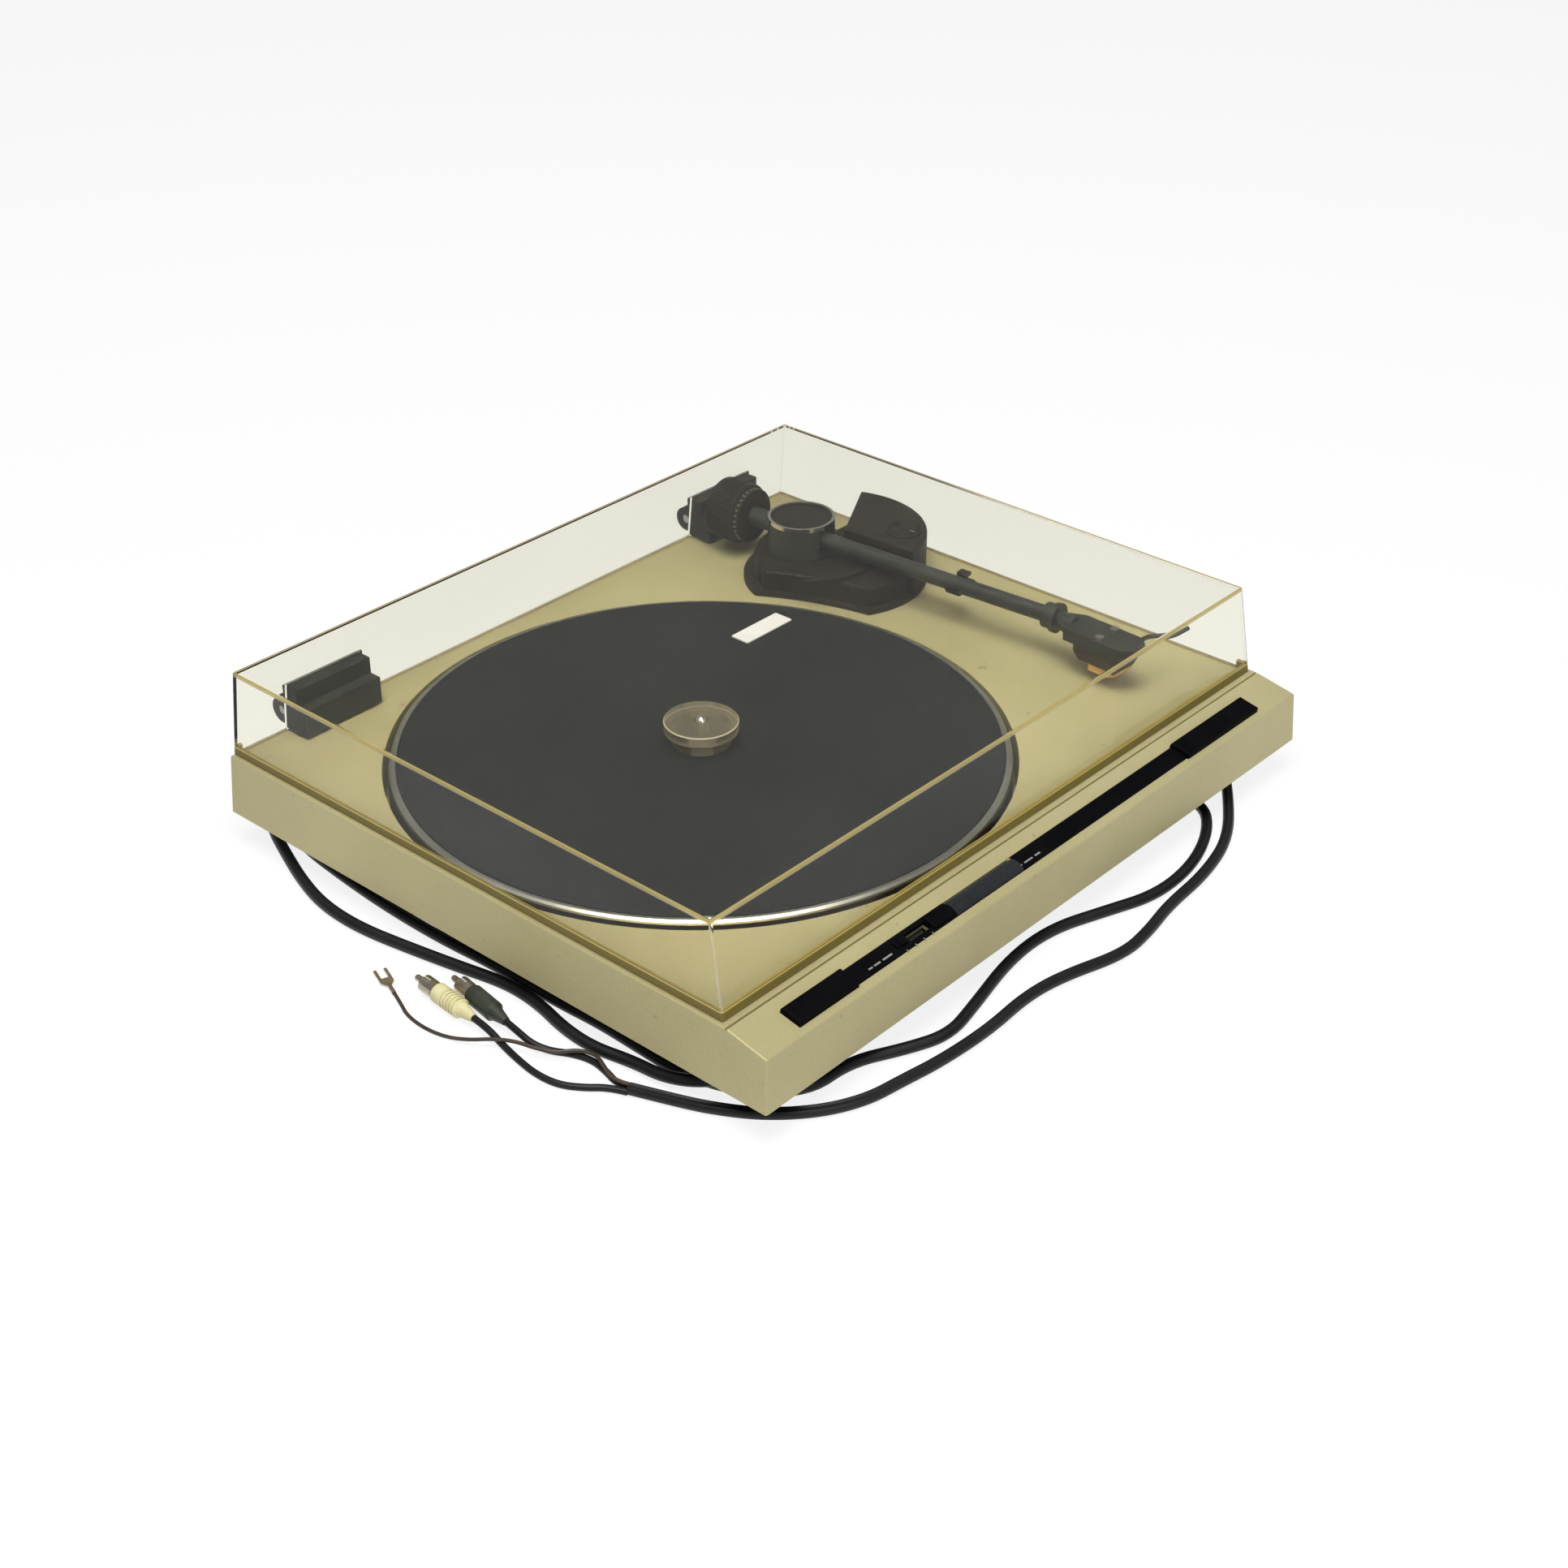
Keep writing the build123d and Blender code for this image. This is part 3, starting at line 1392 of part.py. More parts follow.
# Plug sizes
plug_radius = 4.9
plug_length = 28.0
plug_nose = 9.0
plug_step = 1.1
plug_ribs = 5
plug_stem_depth = 3.0
pin_stem = 1.6
skirt_radius = 4.2
skirt_wall = 0.8
skirt_length = 9.0
skirt_slit = 5.0
mains_length = 26.0
mains_head = 10.0
mains_neck = 4.5
mains_taper = 1.5
mains_width = 22.0
mains_height = 13.0
mains_round = 1.6
mains_axis = (Vector(44, 206, 6.7), Vector(70, 206, 6.7))
blade_length = 17.0
blade_height = 6.4
blade_thickness = 1.6
blade_spread = 6.35
spade_width = 6.6
spade_slot = 3.6
spade_tine = 7.5
spade_crimp = 6.0
spade_thickness = 0.9

at = strip_x()
coil_line = coil_path()
coil_start = Plane(origin=coil_line @ 0, z_dir=coil_line % 0)
mains_route = tail_route()
cords = {
    "signal_cord": (signal_route, signal_radius),
    "white_lead": (white_route, lead_radius),
    "dark_lead": (dark_route, lead_radius),
    "ground_lead": (ground_route, ground_radius),
    "power_cord": (power_route, power_radius),
    "power_tail": (mains_route, power_radius),
}
parts = {
    "top_cabinet": top_cabinet(),
    "bottom_cover": bottom_cover(),
    "feet": feet(),
    "fasteners": fasteners(),
    "motor_plate": motor_plate(),
    "stator_board": stator_board(),
    "stator_coils": stator_coils(),
    "bearing_housing": bearing_housing(),
    "spindle_shaft": spindle_shaft(),
    "rotor_yoke": rotor_yoke(),
    "rotor_magnet": rotor_magnet(),
    "platter": platter(),
    "platter_mat": platter_mat(),
    "record_adapter": record_adapter(),
    "power_transformer": power_transformer(),
    "control_board": control_board(),
    "switch_board": switch_board(),
    "control_trim": control_trim(),
    "speed_button": strip_button(at["left"], at["left"] + left_button, button_width, button_proud),
    "size_slide": size_slide(),
    "lift_button": strip_button(at["lift_left"], at["lift_right"], lift_button_width, lift_button_proud),
    "pilot_window": pilot_window(),
    "start_button": strip_button(at["right"] - right_button, at["right"], button_width, button_proud),
    "arm_base": arm_base(),
    "bias_dial": bias_dial(),
    "arm_bearing": arm_bearing(),
    "lift_bar": lift_bar(),
    "arm_rest": arm_rest(),
    "rest_clip": rest_clip(),
    "pivot_housing": pivot_housing(),
    "pitch_pins": pitch_pins(),
    "pivot_cap": pivot_cap(),
    "pivot_rim": pivot_rim(),
    "arm_tube": arm_tube(),
    "shell_collar": shell_collar(),
    "headshell": headshell(),
    "shell_screws": shell_screws(),
    "cartridge": cartridge(),
    "stylus_holder": stylus_holder(),
    "stylus": stylus(),
    "finger_lift": finger_lift(),
    "counterweight": counterweight(),
    "scale_ring": scale_ring(),
    "dust_cover": dust_cover(),
    "cover_badge": cover_badge(),
    "hinge_clips": [hinge_clip(-1), hinge_clip(1)],
    "hinge_sockets": [hinge_socket(-1), hinge_socket(1)],
    "cord_glands": [cord_gland(signal_gland_x, signal_radius), cord_gland(power_gland_x, power_radius)],
    "power_coil": sweep(coil_start * Circle(power_radius), path=coil_line),
    "white_plug": signal_plug(white_axis, plug_ribs),
    "dark_plug": signal_plug(dark_axis, 0),
    "plug_contacts": [signal_contact(white_axis), signal_contact(dark_axis)] + mains_blades(),
    "mains_plug": mains_plug(),
    "ground_spade": ground_spade(),
}
for name, (points, radius) in cords.items():
    parts[name] = tube(points, radius)
    report_cord(name, points, radius, parts[name])
print(f"power_coil: length {coil_line.length:.0f}, least gap between turns {coil_gap(coil_line, power_radius):.2f}")

for name, shape in parts.items():
    shape = Compound(shape) if isinstance(shape, list) else shape
    export_step(shape, f"parts/{name}.step")
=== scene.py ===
# %% [markdown]
# A direct drive turntable with its dust cover down, seen from above its front left corner. The solid model
# already has every shape at its real size, so this lesson dresses it: the cords first, then one finish after
# another, then the small things that only show up close.

# %% Load the solid model
import bpy
from math import cos, pi, radians, sin
from mathutils import Matrix, Vector


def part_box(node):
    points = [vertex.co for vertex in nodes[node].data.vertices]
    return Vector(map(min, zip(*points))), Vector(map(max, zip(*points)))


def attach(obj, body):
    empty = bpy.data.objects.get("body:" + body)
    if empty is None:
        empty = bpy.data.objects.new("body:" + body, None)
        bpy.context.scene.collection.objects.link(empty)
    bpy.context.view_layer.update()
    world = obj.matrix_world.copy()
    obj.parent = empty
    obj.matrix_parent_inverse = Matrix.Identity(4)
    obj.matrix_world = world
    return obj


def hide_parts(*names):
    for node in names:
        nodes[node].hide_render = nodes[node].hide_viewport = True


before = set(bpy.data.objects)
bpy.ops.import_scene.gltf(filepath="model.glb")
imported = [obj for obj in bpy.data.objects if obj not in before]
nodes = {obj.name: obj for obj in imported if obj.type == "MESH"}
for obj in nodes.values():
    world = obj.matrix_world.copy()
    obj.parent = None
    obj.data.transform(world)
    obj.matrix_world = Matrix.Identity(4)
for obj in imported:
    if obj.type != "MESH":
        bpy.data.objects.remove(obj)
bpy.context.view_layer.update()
bpy.ops.object.select_all(action="DESELECT")
mm = 0.001

# %% [markdown]
# The camera stands where the photographer stood. A long lens keeps the cabinet's sides nearly parallel. Its
# place and angles were solved from the corners of the cabinet, and a tiny roll takes the tilt of the picture.

# %% Camera
camera_lens = 56.37
camera_place = (-0.81199, -0.72506, 0.68244)
camera_turn = radians(-48.602)
camera_tilt = radians(90 - 31.692)
camera_roll = radians(0.194)
camera_data = bpy.data.cameras.new("camera")
camera_data.sensor_width = 36
camera_data.lens = camera_lens
camera = bpy.data.objects.new("camera", camera_data)
bpy.context.scene.collection.objects.link(camera)
aim = Matrix.Rotation(camera_turn, 4, "Z") @ Matrix.Rotation(camera_tilt, 4, "X")
camera.matrix_world = Matrix.Translation(camera_place) @ aim @ Matrix.Rotation(camera_roll, 4, "Z")
bpy.context.scene.camera = camera
print("camera lens:", camera_data.lens, "mm")

# %% [markdown]
# A cord is one smooth line with a round section. The line is a spline that is pulled towards its points
# without touching them, which is how a springy cable rounds its corners. Order 3 and the end flag come after
# the points. The bevel is one metre deep and each point's radius scales it down, so that radius is the cord's
# own in metres.


# %% Cord line
def cord_line(name, points, radius, body="cabinet"):
    """A cord along points in millimetres."""
    curve = bpy.data.curves.new(name, "CURVE")
    curve.dimensions = "3D"
    spline = curve.splines.new("NURBS")
    spline.points.add(len(points) - 1)
    for point, place in zip(spline.points, points):
        point.co = (place[0] * mm, place[1] * mm, place[2] * mm, 1)
        point.radius = radius * mm
    spline.order_u = 3
    spline.use_endpoint_u = True
    spline.resolution_u = 6
    curve.bevel_depth = 1
    curve.bevel_resolution = 5
    curve.use_fill_caps = True
    cord = bpy.data.objects.new(name, curve)
    bpy.context.scene.collection.objects.link(cord)
    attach(cord, body)
    return cord


# %% [markdown]
# The signal cord comes out of the back, runs down the left side, along the front on the floor, turns round
# the right front foot under the cabinet and comes back, so that its plugs end beside the left edge. Once it
# is down, its middle stays one radius above the floor.

# %% Signal cord
signal_radius = 2.9
signal_start = [(-60, 187.7, 26), (-60, 198, 26), (-64, 208, 20.5), (-73, 214, 11), (-88, 213, 4.5)]
signal_run = [
    (-110, 205), (-136, 194), (-163, 184), (-184, 168), (-193, 143), (-197, 110), (-200, 72),
    (-200.5, 31), (-198, -3), (-198.6, -45), (-197, -71), (-198, -97), (-199, -125), (-190, -154),
    (-170, -175), (-143, -175), (-119, -188), (-98, -196), (-74, -191), (-33, -181), (0, -181),
    (30, -192), (58, -202.5), (92, -201), (123, -190), (144, -174), (143, -148), (135, -122),
    (138, -95), (157, -75), (183, -79), (197, -102), (196, -132), (187, -157), (162, -177),
    (125, -201), (89, -210), (54, -212), (30, -217), (6, -219), (-27, -208), (-52, -204.5),
    (-83, -207), (-116, -205), (-138, -201), (-158, -198), (-178, -188), (-196, -171), (-208, -151),
    (-215, -134), (-222, -115),
]
signal_points = signal_start + [(x, y, signal_radius) for x, y in signal_run]
signal_cord = cord_line("signal_cord_line", signal_points, signal_radius)
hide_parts("signal_cord")
print("signal cord:", len(signal_points), "points")

# %% [markdown]
# At its end the cord parts into two thin leads, one for each plug, and a thinner ground wire that lies over
# both.

# %% Leads and ground wire
lead_radius = 1.7
ground_radius = 0.9
white_points = [
    (-223.64, -115.6, 2.2), (-226.8, -107.2, 2.2), (-234, -99, 1.9), (-240, -89, 1.8), (-241.4, -76, 1.8),
    (-239.4, -62, 1.8), (-237.2, -49.5, 2.6), (-235.8, -39, 5.3), (-234.9, -29, 5.3),
]
dark_points = [
    (-220.36, -114.4, 2.2), (-222.6, -108.2, 2.2), (-219.4, -98.5, 1.9), (-217.6, -88, 1.8),
    (-220.4, -77.5, 1.8), (-226, -69, 2.1), (-229, -60.5, 3.6), (-228.57, -51.88, 5.3), (-227, -42, 5.3),
]
ground_points = [
    (-222, -115, 5.4), (-224.4, -108.5, 5.4), (-221, -99, 5.6), (-217, -90.5, 5.5), (-219.5, -81, 5.4),
    (-227.5, -75, 5.2), (-232, -66, 5.6), (-234.6, -56, 5.9), (-239.5, -46.5, 5.2), (-245.6, -37, 3.2),
    (-249.6, -26, 1.4), (-251.4, -13, 1.0), (-250.2, 0, 1.1), (-246.26, 8.63, 1.2), (-243, 17, 1.2),
]
white_lead = cord_line("white_lead_line", white_points, lead_radius)
dark_lead = cord_line("dark_lead_line", dark_points, lead_radius)
ground_lead = cord_line("ground_lead_line", ground_points, ground_radius)
for lead, node in ((white_lead, "white_lead"), (dark_lead, "dark_lead"), (ground_lead, "ground_lead")):
    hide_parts(node)
print("leads:", len(white_points), len(dark_points), len(ground_points), "points")

# %% [markdown]
# The power cord leaves the back too, shows along the left side, and hides its spare length in a small
# two-layer coil under the cabinet. The coil is made of half turns, six points each, that shrink, climb one
# layer and grow. The spline cuts inside its points, so they stand a little outside the circle that the cord
# follows.


# %% Power cord
def coil_points(x, y, z, radius, pitch, lift, turns_in, turns_out):
    """Spline points of a flat two-layer coil that starts on its left and runs clockwise."""
    half_points = 6
    pull = 1 / cos(pi / (2 * half_points))
    points = []
    side = -1
    for k in range(turns_in + 1 + turns_out):
        climb = lift if k == turns_in else 0
        for step in range(half_points):
            share = (step + 0.5) / half_points
            points.append((
                x + side * radius * pull * cos(pi * share),
                y - side * radius * pull * sin(pi * share),
                z + climb * share,
            ))
        z += climb
        side = -side
        shrink = pitch / 2 if k < turns_in else -pitch / 2
        x += side * shrink
        radius -= shrink
    return points


power_radius = 3.0
power_start = [
    (-120, 187.7, 26), (-120, 198, 26), (-125, 208, 20), (-134, 213, 10), (-149, 209, 4), (-166, 197, 3),
    (-182, 185, 3), (-194, 167, 3), (-203, 146, 3), (-213, 121, 3), (-220, 96, 3), (-221, 68, 3),
    (-216, 37, 3), (-210, 6, 3), (-204.6, -18, 3), (-205.4, -40, 3), (-211, -63, 3), (-212, -83, 3),
    (-207.5, -103, 3), (-207.8, -122, 4.8), (-202.5, -140, 8.1), (-187.5, -153, 9.9), (-168, -165, 8.4),
    (-142, -158, 6), (-130, -132, 3.8), (-130, -104, 3.2),
]
coil = coil_points(x=-96, y=-70, z=3.2, radius=34, pitch=6.8, lift=6.6, turns_in=4, turns_out=3)
power_end = [
    (-130, -46, 9.8), (-133, -20, 6.5), (-131, 14, 3.2), (-120, 54, 3), (-98, 92, 3), (-70, 124, 3),
    (-44, 152, 3), (-20, 178, 4.2), (4, 199.5, 6.2), (24, 206, 6.7), (44, 206, 6.7),
]
power_points = power_start + coil + power_end
power_cord = cord_line("power_cord_line", power_points, power_radius)
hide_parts("power_cord", "power_coil", "power_tail")
print("power cord:", len(power_points), "points,", len(coil), "of them in the coil")

# %% [markdown]
# A moulded strain relief keeps a cord from kinking where it leaves the back. It starts inside the gland,
# follows the cord's first points and tapers, so it is the same kind of spline with a radius at each point. It
# is then turned into a mesh, and the doubled points at its ends are merged.


# %% Strain reliefs
def strain_relief(name, points, radii):
    """A tapered sleeve along the first points of a cord."""
    sleeve = cord_line(name, points, radii[0])
    for point, radius in zip(sleeve.data.splines[0].points, radii):
        point.radius = radius * mm
    bpy.ops.object.select_all(action="DESELECT")
    sleeve.select_set(True)
    bpy.context.view_layer.objects.active = sleeve
    bpy.ops.object.convert(target="MESH")
    sleeve = bpy.context.view_layer.objects.active
    bpy.ops.object.mode_set(mode="EDIT")
    bpy.ops.mesh.select_all(action="SELECT")
    bpy.ops.mesh.remove_doubles(threshold=0.00001)
    bpy.ops.mesh.normals_make_consistent(inside=False)
    bpy.ops.object.mode_set(mode="OBJECT")
    bpy.ops.object.shade_smooth_by_angle(angle=radians(40))
    return sleeve


power_relief = strain_relief("power_relief", [(-120, 179.2, 26)] + power_start[:3] + [(-127.5, 209.4, 17.2)],
                             [5.0, 4.7, 4.2, 3.6, 3.4])
signal_relief = strain_relief("signal_relief", [(-60, 179.2, 26)] + signal_start[:3] + [(-66, 209.4, 18)],
                              [5.0, 4.7, 4.2, 3.6, 3.3])
print("strain reliefs:", len(power_relief.data.polygons), len(signal_relief.data.polygons), "faces")

# %% [markdown]
# A finish is a small net of shader nodes. Five helpers keep such nets short. One sets a node's inputs, to
# plain values or by links, and one adds a node. The others are the steps that come back all the time: a ramp
# between two limits, a plain calculation with two or more values, and a colour laid over another.


# %% Node helpers
def feed(node, inputs):
    """Each input takes a plain value, or a link from another node's output."""
    for key, value in inputs.items():
        if isinstance(value, bpy.types.NodeSocket):
            node.id_data.links.new(value, node.inputs[key])
        else:
            node.inputs[key].default_value = value


def add_node(tree, kind, inputs, **settings):
    """A new shader node with its settings and its inputs."""
    node = tree.nodes.new("ShaderNode" + kind)
    for setting, value in settings.items():
        setattr(node, setting, value)
    feed(node, inputs)
    return node


def ramp(source, low, high, top=1.0, bottom=0.0):
    """A value that goes from bottom to top while its source goes from low to high."""
    limits = {"Value": source, "From Min": low, "From Max": high, "To Min": bottom, "To Max": top}
    return add_node(source.id_data, "MapRange", limits).outputs["Result"]


def combine(operation, first, *others):
    """One value out of two or more, taken two at a time."""
    for other in others:
        first = add_node(first.id_data, "Math", {0: first, 1: other}, operation=operation).outputs["Value"]
    return first


def lay_over(share, under, colour):
    """A colour over another, as strong as the share."""
    layers = {"Factor": share, "A": under, "B": (*colour, 1)}
    return add_node(share.id_data, "Mix", layers, data_type="RGBA").outputs["Result"]


print("node helpers: 5")

# %% [markdown]
# Every finish below is made of the same few steps: a base colour that wanders a little between two tones, a
# roughness that wanders with it, and a fine bump. What differs is the scale and the strength, so one helper
# builds the nodes and each finish only names its numbers. Patterns read Object coordinates, which are metres.


# %% Finish helper
def finish(name, tone, other, patch=30.0, grain=2500.0, rough=(0.4, 0.55), metallic=0.0, bump=0.05,
           specular=0.5, stretch=(1, 1, 1)):
    """A wandering two-tone finish with a fine bump."""
    material = bpy.data.materials.new(name)
    material.use_nodes = True
    tree = material.node_tree
    shader = tree.nodes["Principled BSDF"]
    place = add_node(tree, "TexCoord", {}, name="place")
    mapping = add_node(tree, "Mapping", {"Vector": place.outputs["Object"], "Scale": stretch})
    vector = mapping.outputs["Vector"]
    wide = add_node(tree, "TexNoise", {"Vector": vector, "Scale": patch, "Detail": 6}, name="wide")
    fine = add_node(tree, "TexNoise", {"Vector": vector, "Scale": grain, "Detail": 2})
    weigh = add_node(tree, "Mix", {"Factor": 0.35, "A": wide.outputs["Fac"], "B": fine.outputs["Fac"]})
    tones = add_node(tree, "ValToRGB", {"Fac": weigh.outputs["Result"]}, name="tones")
    for element, position, colour in zip(tones.color_ramp.elements, (0.35, 0.65), (tone, other)):
        element.position = position
        element.color = (*colour, 1)
    feed(shader, {"Metallic": metallic, "Specular IOR Level": specular, "Base Color": tones.outputs["Color"],
                  "Roughness": ramp(wide.outputs["Fac"], 0, 1, rough[1], rough[0])})
    if bump:
        grained = {"Strength": bump, "Distance": 0.0002, "Height": fine.outputs["Fac"]}
        relief = add_node(tree, "Bump", grained, name="relief")
        feed(shader, {"Normal": relief.outputs["Normal"]})
    return material


def press(material, height, strength, depth):
    """A second bump over a finish's own."""
    tree = material.node_tree
    bump = add_node(tree, "Bump", {"Strength": strength, "Distance": depth, "Height": height,
                                   "Normal": tree.nodes["relief"].outputs["Normal"]})
    feed(tree.nodes["Principled BSDF"], {"Normal": bump.outputs["Normal"]})


def recolour(material, share, colour):
    """A third colour over a finish's two tones, as strong as the share."""
    tree = material.node_tree
    mixed = lay_over(share, tree.nodes["tones"].outputs["Color"], colour)
    feed(tree.nodes["Principled BSDF"], {"Base Color": mixed})


def wear(material, *names):
    """Give each solid's only material slot a finish."""
    for name in names:
        mesh = nodes[name].data
        mesh.materials.clear()
        mesh.materials.append(material)


# %% [markdown]
# Turned and moulded round pieces carry fine rings, from the lathe or the mould. The distance from the axis is
# the length of the place vector once the axis is moved to zero and the height is flattened out of it, and a
# sine of that distance is a ring. It goes through a bump, so it is relief and not paint.


# %% Ring helper
def reach_from(tree, x, y):
    """The distance from an upright axis at x, y."""
    flat = add_node(tree, "Mapping", {"Vector": tree.nodes["place"].outputs["Object"],
                                      "Location": (-x, -y, 0), "Scale": (1, 1, 0)})
    return add_node(tree, "VectorMath", {0: flat.outputs["Vector"]}, operation="LENGTH").outputs["Value"]


def add_rings(material, x, y, pitch, strength):
    """Concentric grooves about an upright axis at x, y."""
    turns = combine("MULTIPLY", reach_from(material.node_tree, x, y), 2 * pi / pitch)
    wave = add_node(material.node_tree, "Math", {0: turns}, operation="SINE").outputs["Value"]
    press(material, wave, strength, 0.0003)


mat_low, mat_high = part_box("platter_mat")
platter_x, platter_y = (mat_low.x + mat_high.x) / 2, (mat_low.y + mat_high.y) / 2
print("platter axis:", round(platter_x, 4), round(platter_y, 4))

# %% [markdown]
# The cabinet is sprayed in a pale champagne metallic. Close up the paint has a fine sparkle, so the grain is
# small and the two tones are close. It is a paint film with flakes in it, so it is only partly metallic.

# %% Cabinet paint
paint_grain = 1500
champagne = finish("champagne_paint", (0.37, 0.325, 0.165), (0.48, 0.435, 0.235), patch=7, grain=paint_grain,
                   rough=(0.42, 0.52), metallic=0.25, bump=0.08, specular=0.35)
wear(champagne, "top_cabinet")
print("champagne paint: grain about", round(1000 / paint_grain, 2), "mm")

# %% [markdown]
# Age settles on the paint as faint smudges and small dark specks, mostly where hands and dust reach. A noise
# with a hard threshold gives the specks, and they darken the two tones instead of replacing them.

# %% Specks on the paint
champagne_place = champagne.node_tree.nodes["place"].outputs["Object"]
specks = add_node(champagne.node_tree, "TexNoise", {"Vector": champagne_place, "Scale": 130, "Detail": 8})
recolour(champagne, ramp(specks.outputs["Fac"], 0.68, 0.76, 0.45), (0.16, 0.12, 0.06))
print("specks cover a few parts in a thousand")

# %% [markdown]
# Blacks are never all alike. The keys are moulded with a satin face, the window is smoked and glossy, the
# feet and the mat are rubber, and the arm's parts are a dusty brown charcoal. Each gets its own tone and
# roughness.

# %% Black plastics
key_black = finish("key_black", (0.0015, 0.0015, 0.002), (0.004, 0.004, 0.005), patch=40, grain=3000,
                   rough=(0.45, 0.6), bump=0.06, specular=0.03)
wear(key_black, "control_trim", "speed_button", "start_button", "lift_button", "size_slide")
smoked = finish("smoked_window", (0.014, 0.016, 0.019), (0.026, 0.029, 0.033), patch=20, grain=800,
                rough=(0.15, 0.25), bump=0.02, specular=0.3)
wear(smoked, "pilot_window")
hinge_black = finish("hinge_black", (0.02, 0.021, 0.018), (0.034, 0.035, 0.03), patch=60, grain=2400,
                     rough=(0.5, 0.65), bump=0.12, specular=0.2)
wear(hinge_black, "hinge_clips", "hinge_sockets")
base_board = finish("base_board", (0.02, 0.019, 0.017), (0.035, 0.032, 0.028), patch=15, grain=900,
                    rough=(0.7, 0.85), bump=0.2, specular=0.2)
wear(base_board, "bottom_cover", "switch_board")
print("black plastics: 4")

# %% Rubbers
foot_rubber = finish("foot_rubber", (0.012, 0.012, 0.012), (0.022, 0.021, 0.02), patch=60, grain=2200,
                     rough=(0.65, 0.8), bump=0.2, specular=0.25)
wear(foot_rubber, "feet", "cord_glands")
mat_ring_pitch = 0.0022
mat_rubber = finish("mat_rubber", (0.009, 0.010, 0.0105), (0.017, 0.018, 0.019), patch=11, grain=1800,
                    rough=(0.62, 0.75), bump=0.15, specular=0.15)
add_rings(mat_rubber, platter_x, platter_y, mat_ring_pitch, 0.12)
wear(mat_rubber, "platter_mat")
print("rubbers: 2, mat rings", round(mat_ring_pitch / mm, 1), "mm apart")

# %% Arm finishes
arm_charcoal = finish("arm_charcoal", (0.010, 0.008, 0.006), (0.022, 0.018, 0.013), patch=45, grain=2600,
                      rough=(0.5, 0.65), bump=0.1, specular=0.2)
wear(arm_charcoal, "arm_base", "bias_dial", "arm_rest", "rest_clip", "pivot_cap", "scale_ring",
     "counterweight", "lift_bar")
arm_grey = finish("arm_grey", (0.03, 0.032, 0.027), (0.05, 0.052, 0.045), patch=35, grain=2000,
                  rough=(0.38, 0.5), metallic=0.3, bump=0.05, specular=0.3)
wear(arm_grey, "arm_tube", "shell_collar", "headshell", "finger_lift", "pivot_housing")
cartridge_brown = finish("cartridge_brown", (0.03, 0.02, 0.011), (0.052, 0.036, 0.02), patch=80, grain=2600,
                         rough=(0.4, 0.5), bump=0.06, specular=0.3)
wear(cartridge_brown, "cartridge")
stylus_orange = finish("stylus_orange", (0.50, 0.27, 0.04), (0.66, 0.42, 0.10), patch=120, grain=2000,
                       rough=(0.3, 0.4), bump=0.04)
wear(stylus_orange, "stylus_holder")
print("arm finishes: 4")

# %% [markdown]
# The platter is die cast and its rim is turned bright. The last millimetre of its radius takes a painted
# brown shade, which stands in for its outer wall in shadow with the deck reflected in it.

# %% Platter metal
turning_pitch = 0.0007
platter_metal = finish("platter_metal", (0.50, 0.50, 0.45), (0.66, 0.66, 0.60), patch=26, grain=1500,
                       rough=(0.30, 0.42), metallic=1.0, bump=0.03)
add_rings(platter_metal, platter_x, platter_y, turning_pitch, 0.12)
rim_low, rim_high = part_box("platter")
rim_reach = (rim_high.x - rim_low.x) / 2
# painted shade: where the rim's brown starts and where it is full
rim_shade_start, rim_shade_full = rim_reach - 0.0010, rim_reach - 0.0007
reach = reach_from(platter_metal.node_tree, platter_x, platter_y)
# painted shade and reflection: the outer millimetre of the rim turns brown
recolour(platter_metal, ramp(reach, rim_shade_start, rim_shade_full), (0.14, 0.115, 0.06))
wear(platter_metal, "platter")
print("platter turning marks", round(turning_pitch / mm, 1), "mm apart")

# %% [markdown]
# The other metals differ by how they were worked: the pivot's rim and the spindle are polished, plate and
# screws are plain steel, the plugs are nickel that has worn warm, and the badge is a matt pale silver.

# %% Other metals
polished = finish("polished_metal", (0.72, 0.71, 0.66), (0.84, 0.83, 0.78), patch=60, grain=1500,
                  rough=(0.10, 0.18), metallic=1.0, bump=0.01)
wear(polished, "pivot_rim", "spindle_shaft")
steel = finish("plain_steel", (0.35, 0.34, 0.32), (0.48, 0.47, 0.44), patch=90, grain=1800, rough=(0.3, 0.42),
               metallic=1.0, bump=0.06)
wear(steel, "fasteners", "motor_plate", "rotor_yoke", "pitch_pins", "shell_screws", "stylus")
nickel = finish("worn_nickel", (0.42, 0.36, 0.27), (0.62, 0.57, 0.46), patch=220, grain=2500,
                rough=(0.25, 0.4), metallic=1.0, bump=0.06)
wear(nickel, "plug_contacts", "ground_spade")
badge_silver = finish("badge_silver", (0.76, 0.74, 0.64), (0.86, 0.84, 0.74), patch=40, grain=2500,
                      rough=(0.4, 0.5), metallic=0.2, bump=0.05, specular=0.3)
wear(badge_silver, "cover_badge")
brass = finish("bearing_brass", (0.45, 0.33, 0.14), (0.55, 0.42, 0.2), patch=80, grain=1500, rough=(0.3, 0.4),
               metallic=1.0, bump=0.04)
wear(brass, "bearing_housing", "arm_bearing")
print("other metals: 5")

# %% [markdown]
# The motor and the transformer can't be seen from outside, but each is a solid of its own, so they get plain
# honest finishes too: copper coils, dark ferrite, brown boards, and an iron core whose noise is stretched thin
# like its stacked sheets.

